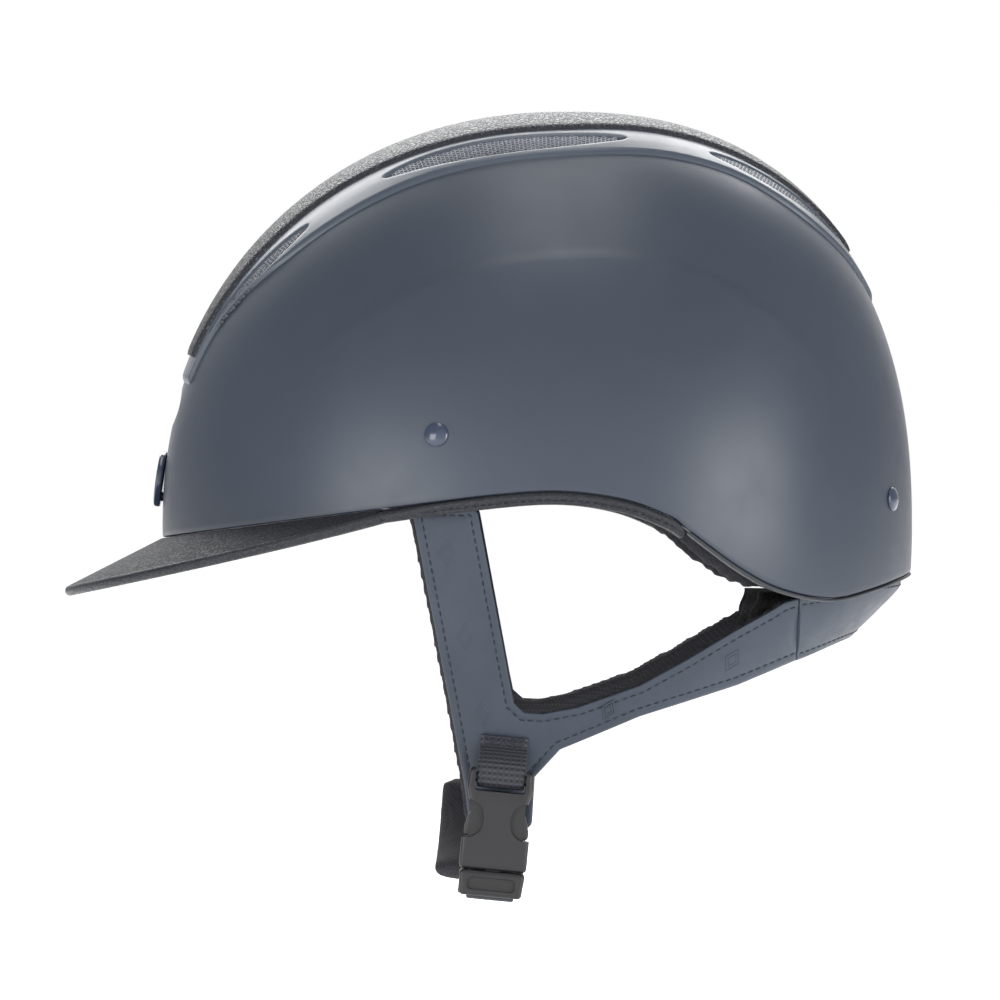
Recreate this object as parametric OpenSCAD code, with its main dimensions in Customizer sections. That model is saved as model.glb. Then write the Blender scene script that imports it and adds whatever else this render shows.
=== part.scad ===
// Equestrian riding helmet: hard shell, foam liner, leather peak and trim, yoke harness with a side-release buckle.
// Millimetres. +Z is up, -Y is the front, +X is the wearer's left.
// The origin is the middle of the head ring at brow level, where a head holds the helmet.

/* [Shell] */
// Half of the shell's width at the rim
shell_half_w = 105; // [90:0.5:120]
// From the shell's centre line to its front end
shell_front = 141; // [120:0.5:155]
// From the shell's centre line to its rear end
shell_rear = 121.4; // [105:0.2:140]
// From the shell's widest level up to the bare crown
shell_crown = 142.4; // [120:0.2:160]
// Thickness of the hard shell
shell_t = 2.8; // [2:0.1:4]
// How far the centre panel stands off the shell
panel_t = 1.3; // [0.8:0.1:2.5]
// Thickness of the pebbled strip on the panel
strip_t = 1.3; // [0.8:0.1:2.5]
// Half width of a vent opening at its middle
vent_half_w = 4.6; // [2:0.1:5]
// Radius of a rivet's head
rivet_head_r = 4.1; // [3:0.1:6]
// Radius of the badge plate
badge_r = 9.8; // [7:0.1:13]

/* [Peak and rim] */
// Length of the peak at the front, along its slope
peak_len = 39; // [25:0.5:60]
// Slope of the peak below the horizontal, in degrees
peak_drop = 27; // [10:0.5:45]
// Angle either side of the front where the peak dies out
peak_end = 62; // [45:1:75]
// Height of the leather trim below the shell
trim_h = 4.2; // [3:0.1:7]

/* [Liner] */
// Thickness of the foam liner
foam_t = 19.4; // [15:0.2:30]
// Thickness of the headband
headband_t = 5; // [3:0.2:8]
// Height of the headband
headband_h = 34; // [24:1:45]

/* [Harness] */
// Half width of the harness at the rim
harness_half_w = 92; // [80:0.5:100]
// Inward lean of the harness, in millimetres per millimetre down
harness_lean = 0.28; // [0.15:0.01:0.4]
// Thickness of the harness leather
leather_t = 1.6; // [1:0.1:2.5]
// Thickness of the padded lining behind the leather
lining_t = 4.6; // [2:0.2:8]
// Width of the chin webbing
webbing_w = 16; // [12:0.5:25]
// Thickness of the chin webbing
webbing_t = 1.4; // [1:0.1:2]

/* [Buckle] */
// Distance of the buckle's top bar from the middle plane
buckle_x = 77; // [65:0.5:85]
// Width of the buckle
buckle_w = 22.4; // [18:0.2:30]
// Thickness of the buckle
buckle_t = 9.6; // [7:0.2:12]
// Lean of the buckle, bottom toward the front, in degrees
buckle_lean = 5.5; // [0:0.5:12]

/* [Hidden] */

$fn = 48;
centre_y = 10;
centre_z = 5;
skirt_h = 120;
plan_exp = 2.15;
rim_cols = 60;
dome_rows = 11;
gap = 0.3;
foam_out = shell_t + 1.8;
foam_in = foam_out + foam_t;
band_out = foam_in + 1.1;
band_in = band_out + headband_t;
pad_t = 4;
harness_front = 141;
harness_rear = 117.6;
nape_z = -16;
nape_slant = 0.98;
nape_cut = 88.6;
buckle_y = -12;
buckle_z = -75.5;
rivet_shank_r = 2.3;
rivet_hole_r = 2.4;
shell_navy = [0.27, 0.29, 0.33];
panel_navy = [0.30, 0.33, 0.37];
leather_navy = [0.22, 0.25, 0.30];
soft_black = [0.08, 0.08, 0.09];
buckle_black = [0.11, 0.11, 0.12];
mesh_blue = [0.50, 0.54, 0.60];

// Where each rivet goes: angle from the front and height
rivet_spots = [[65.9, 35.8], [158.1, 14.3], [-65.9, 35.8], [-158.1, 14.3]];

// The rim's height at points along the helmet, front to rear
rim_line = [[-131, 1], [-100, 5], [-48, 11.5], [-13, 15.8], [8, 16.8], [29, 14], [45, 8], [49.5, 4.4],
            [67.5, -8.4], [82, -15.6], [101, -19.2], [115, -16.4], [131.4, -11]];
// Half width of the centre panel by angle over the crown, front to rear
panel_line = [[20, 26], [30, 32], [45, 46], [70, 50], [95, 46.5], [115, 39.5], [130, 30], [144, 4]];
// Half width of the pebbled strip, the same way
strip_line = [[24, 24], [35, 28], [50, 32], [73, 34], [98, 30.5], [112, 26], [125, 18.5], [136, 8]];
// Each vent: first and last angle over the crown, distance from the middle at its start, middle and end,
// and its share of the full vent width
vent_front = [28.1, 49.5, 30, 37.5, 40.5, 0.7];
vent_mid = [62.2, 98.9, 41, 42, 37.5, 1];
vent_rear = [111, 133.9, 33.5, 28, 14.5, 0.85];

// ---- Curves and surfaces ----

// A smooth curve through hand-picked points: the height at x
function slope_at(p, i) =
    let (a = max(i - 1, 0), b = min(i + 1, len(p) - 1))
    (p[b][1] - p[a][1]) / (p[b][0] - p[a][0]);
function segment(p, x) = max(0, len([for (q = p) if (q[0] <= x) 1]) - 1);
function curve(p, x) =
    let (c = min(max(x, p[0][0]), p[len(p) - 1][0]),
         i = min(segment(p, c), len(p) - 2),
         w = p[i + 1][0] - p[i][0],
         u = (c - p[i][0]) / w,
         m0 = slope_at(p, i) * w,
         m1 = slope_at(p, i + 1) * w)
    (2 * u * u * u - 3 * u * u + 1) * p[i][1] + (u * u * u - 2 * u * u + u) * m0
    + (3 * u * u - 2 * u * u * u) * p[i + 1][1] + (u * u * u - u * u) * m1;

// The head shape's exponent in an upright cut, for a level direction
function wall_exp(x, y) =
    let (n = x * x + y * y)
    n < 1e-9 ? 2 : 2 + (y < 0 ? 0.12 : 0.33) * y * y / n;
// Inverse of the plan radius in a level direction, for the layer t inside the shell
function plan_inv(x, y, t) =
    pow(pow(abs(x) / (shell_half_w - t), plan_exp)
        + pow(abs(y) / ((y < 0 ? shell_front : shell_rear) - t), plan_exp), 1 / plan_exp);
// The point of layer t at an angle from the front and a height
function at_height(phi, z, t) =
    let (x = sin(phi), y = -cos(phi), p = wall_exp(x, y),
         h = z > centre_z ? shell_crown - t : skirt_h,
         r = pow(1 - pow(abs(z - centre_z) / h, p), 1 / p) / plan_inv(x, y, t))
    [r * x, centre_y + r * y, z];
// The point of layer t in a direction from the centre
function toward(d, t) =
    let (p = wall_exp(d[0], d[1]),
         h = d[2] > 0 ? shell_crown - t : skirt_h,
         r = pow(pow(plan_inv(d[0], d[1], t), p) + pow(abs(d[2]) / h, p), -1 / p))
    [r * d[0], centre_y + r * d[1], centre_z + r * d[2]];
// The point of layer t at an angle over the crown (0 front, 90 top) and a distance from the middle plane
function over_crown(psi, x, t) =
    let (r = norm(toward([0, -cos(psi), sin(psi)], t) - [0, centre_y, centre_z]),
         b0 = asin(x / r),
         r1 = norm(toward([sin(b0), -cos(psi) * cos(b0), sin(psi) * cos(b0)], t)
                   - [0, centre_y, centre_z]),
         b = asin(x / r1))
    toward([sin(b), -cos(psi) * cos(b), sin(psi) * cos(b)], t);
// The rim's height at an angle from the front
function rim_z(phi, t = 0) = curve(rim_line, at_height(phi, centre_z, t)[1]);
// Outward normal of the shell
function shell_normal(phi, z) =
    let (a = at_height(phi + 0.5, z, 0) - at_height(phi - 0.5, z, 0),
         b = at_height(phi, z + 1, 0) - at_height(phi, z - 1, 0),
         n = cross(a, b))
    n / norm(n);

// Harness sheet: the point at an angle from the front, or the distance from the middle plane at y, z
function harness_w(z, t) = harness_half_w + (z - 10) * harness_lean - t;
function harness_len(z, t) = harness_rear + min(0, z - nape_z) * nape_slant - t;
function harness_at(phi, z, t) =
    let (x = sin(phi), y = -cos(phi),
         r = pow(pow(abs(x) / harness_w(z, t), plan_exp)
                 + pow(abs(y) / (y < 0 ? harness_front - t : harness_len(z, t)), plan_exp),
                 -1 / plan_exp))
    [r * x, centre_y + r * y, z];
function harness_x(y, z, t) =
    let (d = y - centre_y, q = abs(d) / (d < 0 ? harness_front - t : harness_len(z, t)))
    harness_w(z, t) * pow(1 - pow(min(q, 0.985), plan_exp), 1 / plan_exp);

// ---- Solids from grids of points ----

// A closed solid between two grids of the same size, outer and inner
module slab(outer, inner) {
    r = len(outer);
    c = len(outer[0]);
    n = r * c;
    points = concat([for (row = outer) for (p = row) p], [for (row = inner) for (p = row) p]);
    sides = [
        for (i = [0 : r - 2]) for (j = [0 : c - 2]) let (a = i * c + j)
            each [[a, a + 1, a + c + 1], [a, a + c + 1, a + c],
                  [n + a, n + a + c + 1, n + a + 1], [n + a, n + a + c, n + a + c + 1]]
    ];
    ends = [
        for (j = [0 : c - 2]) let (a = j, b = (r - 1) * c + j)
            each [[a, n + a, n + a + 1], [a, n + a + 1, a + 1],
                  [b, b + 1, n + b + 1], [b, n + b + 1, n + b]]
    ];
    edges = [
        for (i = [0 : r - 2]) let (a = i * c, b = i * c + c - 1)
            each [[a, a + c, n + a + c], [a, n + a + c, n + a],
                  [b, n + b, n + b + c], [b, n + b + c, b + c]]
    ];
    polyhedron(points = points, faces = concat(sides, ends, edges), convexity = 8);
}

// A solid through a row of sections of the same number of points, closed into a ring or capped
module loft(sections, ring = false) {
    r = len(sections);
    k = len(sections[0]);
    last = ring ? r - 1 : r - 2;
    points = [for (s = sections) for (p = s) p];
    sides = [
        for (i = [0 : last]) for (j = [0 : k - 1])
            let (a = i * k + j, b = i * k + (j + 1) % k,
                 c = ((i + 1) % r) * k + j, d = ((i + 1) % r) * k + (j + 1) % k)
            each [[a, b, d], [a, d, c]]
    ];
    caps = ring ? [] : [
        for (j = [1 : k - 2])
            each [[0, j + 1, j], [(r - 1) * k, (r - 1) * k + j, (r - 1) * k + j + 1]]
    ];
    polyhedron(points = points, faces = concat(sides, caps), convexity = 8);
}

// A dome between layers t0 and t1, its lower edge a given height above the rim; with follow = 1 each layer
// keeps the rim's height at its own distance along the helmet
module dome(t0, t1, lift, follow = 0) {
    m = rim_cols;
    n = dome_rows;
    function row(phi, i, t) =
        let (e = at_height(phi, rim_z(phi, follow * t) + lift, t),
             low = atan2(e[2] - centre_z, norm([e[0], e[1] - centre_y])),
             a = low + (90 - low) * i / n)
        toward([cos(a) * sin(phi), -cos(a) * cos(phi), sin(a)], t);
    outer = [for (i = [0 : n - 1]) for (j = [0 : m - 1]) row(360 * j / m, i, t0)];
    inner = [for (i = [0 : n - 1]) for (j = [0 : m - 1]) row(360 * j / m, i, t1)];
    tops = [[0, centre_y, centre_z + shell_crown - t0], [0, centre_y, centre_z + shell_crown - t1]];
    q = n * m;
    walls = [
        for (i = [0 : n - 2]) for (j = [0 : m - 1])
            let (a = i * m + j, b = i * m + (j + 1) % m)
            each [[a, a + m, b + m], [a, b + m, b],
                  [q + a, q + b + m, q + a + m], [q + a, q + b, q + b + m]]
    ];
    caps = [
        for (j = [0 : m - 1]) let (a = (n - 1) * m + j, b = (n - 1) * m + (j + 1) % m)
            each [[a, 2 * q, b], [q + a, q + b, 2 * q + 1]]
    ];
    foot = [
        for (j = [0 : m - 1]) let (b = (j + 1) % m)
            each [[j, b, q + b], [j, q + b, q + j]]
    ];
    polyhedron(points = concat(outer, inner, tops), faces = concat(walls, caps, foot), convexity = 8);
}

// A patch over the crown between layers t0 and t1, as wide as the given line
module crown_patch(psi0, psi1, rows, cols, line, t0, t1, shrink = 0) {
    function grid(t) = [
        for (i = [0 : rows]) let (psi = psi0 + (psi1 - psi0) * i / rows, w = curve(line, psi) - shrink)
            [for (j = [0 : cols]) over_crown(psi, w * (2 * j / cols - 1), t)]
    ];
    slab(grid(t1), grid(t0));
}

// A lens-shaped plug through layers t0 to t1 at a vent, grown by extra
module vent_plug(v, t0, t1, extra, side) {
    rows = 14;
    function mid(u) = v[2] * (1 - u) * (1 - 2 * u) + 4 * v[3] * u * (1 - u) + v[4] * u * (2 * u - 1);
    function wide(u) = 0.5 + extra + (vent_half_w * v[5] - 0.5) * pow(max(0, 1 - pow(2 * u - 1, 2)), 0.7);
    function grid(t) = [
        for (i = [0 : rows])
            let (u = i / rows, psi = v[0] + (v[1] - v[0]) * u + (2 * u - 1) * extra / 2)
            [for (j = [-1 : 1]) over_crown(psi, side * mid(u) + j * wide(u), t)]
    ];
    slab(grid(t1), grid(t0));
}

// The lens of the front centre vent, through layers t0 to t1
module front_plug(t0, t1, extra) {
    line = [for (i = [0 : 6]) let (u = i / 3 - 1) [17 + 3.1 * u, 2 + extra + 17 * sqrt(1 - u * u)]];
    crown_patch(13.9 - extra / 4, 20.1 + extra / 4, 10, 8, line, t0, t1);
}

// A patch of wall between two angles, its edges at heights given at both ends
module wall_patch(phi0, phi1, cols, low, high, rows, t0, t1) {
    function grid(t) = [
        for (i = [0 : rows]) [
            for (j = [0 : cols])
                let (phi = phi0 + (phi1 - phi0) * j / cols)
                at_height(phi, low + (high - low) * i / rows, t)
        ]
    ];
    slab(grid(t1), grid(t0));
}

// Puts its children on the shell with +Z along the outward normal
module on_shell(phi, z) {
    n = shell_normal(phi, z);
    translate(at_height(phi, z, 0)) rotate([0, acos(n[2]), atan2(n[1], n[0])]) children();
}

// ---- Shell and what is fixed to it ----

module outer_shell() color(shell_navy) difference() {
    dome(0, shell_t, 0);
    for (s = rivet_spots) on_shell(s[0], s[1]) translate([0, 0, -8]) cylinder(r = rivet_hole_r, h = 12);
    for (side = [-1, 1]) for (v = [vent_front, vent_mid, vent_rear]) vent_plug(v, -3, 7, 0.1, side);
    front_plug(-3, 7, 0.1);
    for (z = badge_holes) badge_bore(z);
}
badge_holes = [15.2, 27.2];
badge_mid_z = 21.2;
badge_face_y = centre_y - shell_front - 0.6;
module badge_bore(z) translate([0, badge_face_y + 12, z]) rotate([90, 0, 0]) cylinder(r = 1.7, h = 14);

// Room left between curved layers, so that their facets never cross
skin_gap = 0.3;
pad_gap = 0.8;
module centre_panel() color(panel_navy) difference() {
    crown_patch(20.6, 144, 30, 12, panel_line, -panel_t, -skin_gap);
    for (side = [-1, 1]) for (v = [vent_front, vent_mid, vent_rear]) vent_plug(v, -5, 5, 0.1, side);
}

module top_strip() color(leather_navy)
    crown_patch(24.4, 136, 28, 8, strip_line, -panel_t - strip_t, -panel_t - skin_gap);

module vent_insert(v, side) color(mesh_blue) vent_plug(v, -0.9, -0.1, 0, side);
module vent_front_left() vent_insert(vent_front, 1);
module vent_front_right() vent_insert(vent_front, -1);
module vent_mid_left() vent_insert(vent_mid, 1);
module vent_mid_right() vent_insert(vent_mid, -1);
module vent_rear_left() vent_insert(vent_rear, 1);
module vent_rear_right() vent_insert(vent_rear, -1);
module front_grille() color(mesh_blue) front_plug(0.6, 1.4, 0);

module badge_plate() color(panel_navy) {
    translate([0, badge_face_y, badge_mid_z]) rotate([90, 0, 0]) difference() {
        cylinder(r = badge_r, h = 2.4);
        translate([0, 0, 1.7]) cylinder(r = badge_r - 1.8, h = 1);
    }
    for (z = badge_holes)
        translate([0, badge_face_y + 7.4, z]) rotate([90, 0, 0]) cylinder(r = 1.6, h = 7.9);
}
module badge_clips() color(buckle_black)
    for (z = badge_holes)
        translate([0, badge_face_y + 6.8, z]) rotate([90, 0, 0]) difference() {
            cylinder(r = 3.6, h = 1);
            translate([0, 0, -1]) cylinder(r = 1.65, h = 3);
        }

module rivets() color([0.16, 0.20, 0.32])
    for (s = rivet_spots) on_shell(s[0], s[1]) {
        intersection() {
            translate([0, 0, -6.3]) sphere(r = 8);
            translate([0, 0, 0.02]) cylinder(r = rivet_head_r, h = 3);
        }
        translate([0, 0, -6]) cylinder(r = rivet_shank_r, h = 6.5);
    }
module rivet_washers() color([0.6, 0.6, 0.62])
    for (s = rivet_spots) on_shell(s[0], s[1]) translate([0, 0, -5.7]) difference() {
        cylinder(r = 5.5, h = 0.9);
        translate([0, 0, -1]) cylinder(r = rivet_hole_r, h = 3);
    }

module strap_anchor(phi, low, high, half)
    wall_patch(phi - half, phi + half, 4, low, high, 3, shell_t + 0.6, shell_t + 1.6);
module strap_anchors() color(soft_black) difference() {
    for (side = [-1, 1]) {
        strap_anchor(side * 66.6, 17.5, 45, 6.2);
        strap_anchor(side * 158.1, -8, 24, 5);
    }
    for (s = rivet_spots) on_shell(s[0], s[1]) translate([0, 0, -9]) cylinder(r = rivet_hole_r, h = 12);
}

// ---- Peak and rim ----

// How far the peak reaches past the shell at an angle from the front
function peak_reach(phi) = max(2, peak_len * cos(90 * phi / peak_end));
// A point of the peak: s along its slope from the shell, d below its top face
function peak_at(phi, s, d) =
    let (e = at_height(phi, rim_z(phi), 0),
         r = norm([e[0], e[1] - centre_y]) + s * cos(peak_drop) - d * sin(peak_drop))
    [r * sin(phi), centre_y - r * cos(phi), e[2] - 0.2 - s * sin(peak_drop) - d * cos(peak_drop)];
piping_r = 1.8;
peak_lining_t = 1;
peak_core_t = 1.6;
peak_side = 53;
module peak_layer(d0, d1) {
    cols = 22;
    rows = 5;
    function grid(d) = [
        for (i = [0 : rows]) [
            for (j = [0 : cols])
                let (phi = peak_side * (2 * j / cols - 1), s = peak_reach(phi) - 2 * piping_r - 0.1)
                peak_at(phi, 0.2 + (s - 0.2) * i / rows, d)
        ]
    ];
    slab(grid(d0), grid(d1));
}
module peak_cover() color(leather_navy) peak_layer(0, peak_lining_t);
module peak_core() color(soft_black) peak_layer(peak_lining_t, peak_lining_t + peak_core_t);
module peak_underside() color(leather_navy)
    peak_layer(peak_lining_t + peak_core_t, 2 * peak_lining_t + peak_core_t);
module peak_piping() color(leather_navy)
    loft([
        for (j = [-26 : 26])
            let (phi = 57.2 * j / 26, s = peak_reach(phi))
            [for (a = [0 : 45 : 315])
                peak_at(phi, s - piping_r + piping_r * cos(a), piping_r - piping_r * sin(a))]
    ]);

// A band along the rim between two angles: layers t0 to t1, heights z0 to z1 above the rim
module rim_band(phi0, phi1, cols, t0, t1, z0, z1)
    loft([
        for (j = [0 : cols])
            let (phi = phi0 + (phi1 - phi0) * j / cols, z = rim_z(phi))
            [at_height(phi, z + z0, t0), at_height(phi, z + z1, t0),
             at_height(phi, z + z1, t1), at_height(phi, z + z0, t1)]
    ]);
trim_end = 111.2;
module rim_trim_left() color(leather_navy) rim_band(57.5, trim_end, 26, 0.2, 4.6, -trim_h, -0.35);
module rim_trim_right() mirror([1, 0, 0]) rim_trim_left();
module rim_binding() color([0.45, 0.47, 0.5])
    rim_band(trim_end + 0.6, 359.4 - trim_end, 26, -0.3, 3.1, -1.35, -0.25);

// ---- Liner ----

module foam_liner() color([0.12, 0.12, 0.13]) difference() {
    dome(foam_out, foam_in, 4.5, 1);
    for (s = rivet_spots) on_shell(s[0], s[1]) translate([0, 0, -8]) cylinder(r = 7.5, h = 12);
    for (z = badge_holes)
        translate([0, badge_face_y + 12, z]) rotate([90, 0, 0]) cylinder(r = 5, h = 12);
    for (side = [-1, 1]) for (v = [vent_front, vent_mid, vent_rear]) vent_plug(v, 3, 28, -0.4, side);
}

// A ring round the head between layers, its lower edge following the rim but never under a floor
function ring_low(phi, drop) = max(rim_z(phi, band_out) - drop, -16);
module head_ring(t0, t1, drop, rise)
    loft([
        for (j = [0 : 47])
            let (phi = 360 * j / 48, z = ring_low(phi, drop))
            [at_height(phi, z, t0), at_height(phi, z + rise / 2, t0), at_height(phi, z + rise, t0),
             at_height(phi, z + rise, t1), at_height(phi, z + rise / 2, t1), at_height(phi, z, t1)]
    ], ring = true);
module hook_tape() color(soft_black) head_ring(foam_in + 0.55, band_out - 0.1, -6, 16);
module headband() color(soft_black) head_ring(band_out, band_in, 5, headband_h);

module brow_pad() color(soft_black)
    wall_patch(-40, 40, 16, 4, 30, 4, band_in + pad_gap, band_in + pad_t);
module rear_pad() color(soft_black)
    wall_patch(148, 212, 12, -8, 16, 4, band_in + pad_gap, band_in + pad_t);
module side_pad(side) color(soft_black)
    wall_patch(side * 95 - 26, side * 95 + 26, 10, 52, 88, 5, foam_in + pad_gap, foam_in + 6);
module side_pad_left() side_pad(1);
module side_pad_right() side_pad(-1);
crown_line = [[58, 20], [68, 40], [90, 46], [112, 40], [122, 20]];
module crown_pad() color(soft_black)
    crown_patch(58, 122, 14, 10, crown_line, foam_in + pad_gap, foam_in + 6);

// ---- Harness ----

// A band round the nape between two layers of the harness sheet
nape_top = [[0, -12.8], [20, -14.2], [35, -18.8], [45, -20.5]];
nape_foot = [[0, -33.5], [15, -35.6], [28.5, -41], [45, -47]];
module nape_sheet(t0, t1, lift, drop) {
    cols = 30;
    rows = 4;
    function grid(t) = [
        for (i = [0 : rows]) [
            for (j = [0 : cols])
                let (a = 45 * (2 * j / cols - 1),
                     low = curve(nape_foot, abs(a)) - drop, high = curve(nape_top, abs(a)) + lift)
                harness_at(180 + a, low + (high - low) * i / rows, t)
        ]
    ];
    intersection() {
        slab(grid(t1), grid(t0));
        translate([-120, nape_cut, -90]) cube([240, 80, 120]);
    }
}
lining_in = leather_t + 0.1 + lining_t;
module nape_band() color(leather_navy) nape_sheet(0, leather_t, 0, 0);
module nape_lining() color(soft_black) nape_sheet(leather_t + 0.9, lining_in, -2, -0.5);
module nape_mesh() color(soft_black)
    slab(nape_mesh_grid(band_in + 0.5), nape_mesh_grid(band_in + 3.5));
function nape_mesh_grid(t) = [
    for (i = [0 : 3]) [
        for (j = [0 : 16])
            let (phi = 180 - 38 * (2 * j / 16 - 1), u = i / 3)
            at_height(phi, -17.5 - 18 * u, t + 5 * u)
    ]
];

// The yoke's side outline: front strap, junction tab, rear strap up to the nape
yoke_outline = [[-42.5, 11.5], [-30, -54], [-25, -82], [-23, -98], [-2, -98], [-1, -80], [7.5, -70.6],
                [34.6, -58.8], [68.4, -49], [88, -41.3], [88, -19.5], [78, -24.2], [66.6, -30.4],
                [50, -40.5], [34.5, -49.2], [13.4, -56.2], [1.6, -58.2], [-6, -57.3], [-8.5, -53],
                [-20.5, 11.5]];
module yoke_sheet(t0, t1) {
    rows = 16;
    cols = 18;
    function grid(t) = [
        for (i = [0 : rows]) [
            for (j = [0 : cols])
                let (y = -46 + 136 * j / cols, z = -102 + 115 * i / rows)
                [harness_x(y, z, t), y, z]
        ]
    ];
    slab(grid(t1), grid(t0));
}
module yoke(t0, t1, grow) intersection() {
    yoke_sheet(t0, t1);
    translate([12, 0, 0]) rotate([90, 0, 90]) linear_extrude(100)
        offset(r = 3 + grow) offset(delta = -3) polygon(yoke_outline);
}
module harness_left() color(leather_navy) yoke(0, leather_t, 0);
module harness_right() mirror([1, 0, 0]) harness_left();
module lining_left() color(soft_black) yoke(leather_t + 0.1, lining_in, -0.8);
module lining_right() mirror([1, 0, 0]) lining_left();

// ---- Chin strap and buckle, in a leaning frame with the socket's bar along its Y ----

module leaning(x) translate([x, buckle_y, buckle_z]) rotate([-buckle_lean, 0, 0]) children();
bar_r = 1.7;
bar_z = -4.6;
loop_r = 1.85;
slot_foot = -9;
socket_foot = -35.5;
window_top = -12.5;
window_foot = -24.5;
plug_top = -35.8;
plug_foot = -44.4;
plug_bar_z = -42.9;
plug_bar_r = 1.4;
mouth_half = 9.2;
mouth_t = 5.6;
strap_z = plug_bar_z - plug_bar_r - 0.1 - webbing_t / 2;
arc_r = -strap_z;

// A flat outline in the local Y-Z plane, given thickness along X
module across(t) translate([-t / 2, 0, 0]) rotate([90, 0, 90]) linear_extrude(t) children();

// Webbing that rounds a bar on its outer side, both legs running toward -X
module bar_loop(r, legs) {
    rotate([90, 0, 0]) translate([0, 0, -webbing_w / 2]) {
        intersection() {
            difference() {
                cylinder(r = r + webbing_t, h = webbing_w);
                translate([0, 0, -1]) cylinder(r = r, h = webbing_w + 2);
            }
            translate([0, -10, -1]) cube([10, 20, webbing_w + 2]);
        }
        for (s = [-1, 1])
            translate([-legs, s * (r + webbing_t / 2) - webbing_t / 2, 0])
                cube([legs + 0.01, webbing_t, webbing_w]);
    }
}

socket_outline = [[-10.6, -1.6], [10.6, -1.6], [11.2, -8], [9.6, -12.5], [9.6, -16], [11.4, -24.5],
                  [11.4, -35.5], [-11.4, -35.5], [-11.4, -24.5], [-9.6, -16], [-9.6, -12.5], [-11.2, -8]];
module buckle_socket() color(buckle_black) leaning(buckle_x) {
    difference() {
        intersection() {
            across(buckle_t) offset(r = 1.2) offset(delta = -1.2) polygon(socket_outline);
            rotate([90, 0, 0]) translate([0, 0, -20]) linear_extrude(40)
                polygon([[-3.4, -1.5], [3.4, -1.5], [4.8, -9], [4.8, -33.5], [3.6, -36],
                         [-3.6, -36], [-4.8, -33.5], [-4.8, -9]]);
        }
        translate([-8, -webbing_w / 2 - 0.6, slot_foot]) cube([16, webbing_w + 1.2, 20]);
        translate([-mouth_t / 2, -mouth_half, socket_foot - 1]) cube([mouth_t, 2 * mouth_half, 24.5]);
        for (s = [-1, 1])
            translate([-8, s * 9.4 - 4.2, window_foot]) cube([16, 8.4, window_top - window_foot]);
    }
    rotate([90, 0, 0]) translate([0, bar_z, -webbing_w / 2 - 1.2]) cylinder(r = bar_r, h = webbing_w + 2.4);
}

module loop_webbing() color(soft_black) leaning(buckle_x) translate([0, 0, bar_z]) {
    rotate([0, -90, 0]) bar_loop(loop_r, 0.2);
    translate([loop_r, -webbing_w / 2, 0]) cube([webbing_t, webbing_w, 9]);
    translate([-loop_r - webbing_t, -webbing_w / 2, 0]) cube([webbing_t, webbing_w, 17.6]);
}

module buckle_plug() color(buckle_black) leaning(buckle_x) {
    difference() {
        across(9) offset(r = 1.4) offset(delta = -1.4)
            polygon([[-11.2, plug_top], [11.2, plug_top], [10.4, plug_foot], [-10.4, plug_foot]]);
        translate([-8, -webbing_w / 2 - 0.5, -47]) cube([16, webbing_w + 1, 8.6]);
    }
    rotate([90, 0, 0]) translate([0, plug_bar_z, -webbing_w / 2 - 1]) cylinder(r = plug_bar_r, h = webbing_w + 2);
    translate([-2.4, -2.4, plug_top - 0.5]) cube([4.8, 4.8, 8.3]);
}
module plug_webbing() color(soft_black) leaning(buckle_x)
    translate([0, 0, plug_bar_z]) bar_loop(plug_bar_r + 0.1, 12);

prong_pivot = [6.9, -34];
module prong(side) leaning(buckle_x) {
    across(5) offset(r = 0.5) offset(delta = -0.5) polygon([
        [side * 5.2, -34], [side * 5.4, -26], [side * 4.2, -17], [side * 5, -13.6], [side * 6.6, -13.6],
        [side * 9, -16.5], [side * 10.9, -21.5], [side * 10.9, -24.2], [side * 8.7, -24.2], [side * 8.6, -34]]);
    rotate([90, 0, 90]) translate([side * prong_pivot[0], prong_pivot[1], -2.5]) cylinder(r = 1.7, h = 5);
}
module prong_front() color(buckle_black) prong(-1);
module prong_rear() color(buckle_black) prong(1);

// The chin webbing runs level under the chin, then turns up a quarter circle to the right yoke
strap_start = buckle_x - 12.2;
arc_x = arc_r - buckle_x;
strap_arc = [187 : 5 : 267];
module chin_webbing() color(soft_black) leaning(0)
    rotate([90, 0, 0]) translate([0, 0, -webbing_w / 2]) linear_extrude(webbing_w) {
        r_out = arc_r + webbing_t / 2;
        r_in = arc_r - webbing_t / 2;
        polygon(concat(
            [for (a = strap_arc) [arc_x + r_out * cos(a), r_out * sin(a)]],
            [[arc_x, -r_out], [strap_start, -r_out], [strap_start, -r_in], [arc_x, -r_in]],
            [for (a = strap_arc) let (b = 454 - a) [arc_x + r_in * cos(b), r_in * sin(b)]]));
    }
tail_z = strap_z + webbing_t + 0.1;
module webbing_tail() color(soft_black) leaning(0)
    translate([-8, -webbing_w / 2, tail_z - webbing_t / 2]) cube([strap_start + 8, webbing_w, webbing_t]);
slider_x = 30;
module strap_slider() color(buckle_black) leaning(0) translate([slider_x, 0, (strap_z + tail_z) / 2]) difference() {
    translate([-6, -11, -2.8]) cube([12, 22, 5.6]);
    translate([-7, -webbing_w / 2 - 0.4, -1.7]) cube([14, webbing_w + 0.8, 3.4]);
    for (s = [-1, 1]) translate([-2.5, -webbing_w / 2, s * 3.2 - 1.5]) cube([5, webbing_w, 3]);
}
module chin_pad() color(soft_black) leaning(0)
    translate([arc_x, 0, 0]) rotate([90, 0, 0]) rotate([0, 0, 196]) rotate_extrude(angle = 66, $fn = 96)
        difference() {
            translate([arc_r - 1.5, -10]) offset(r = 3) square([3.5, 28]);
            translate([arc_r - 1.1, -webbing_w / 2 - 0.5]) square([2.2, webbing_w + 1]);
        }
module anchor_webbing() color(soft_black) leaning(-buckle_x)
    translate([-webbing_t / 2, -webbing_w / 2, bar_z + 1.2]) cube([webbing_t, webbing_w, 16.6]);

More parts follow.
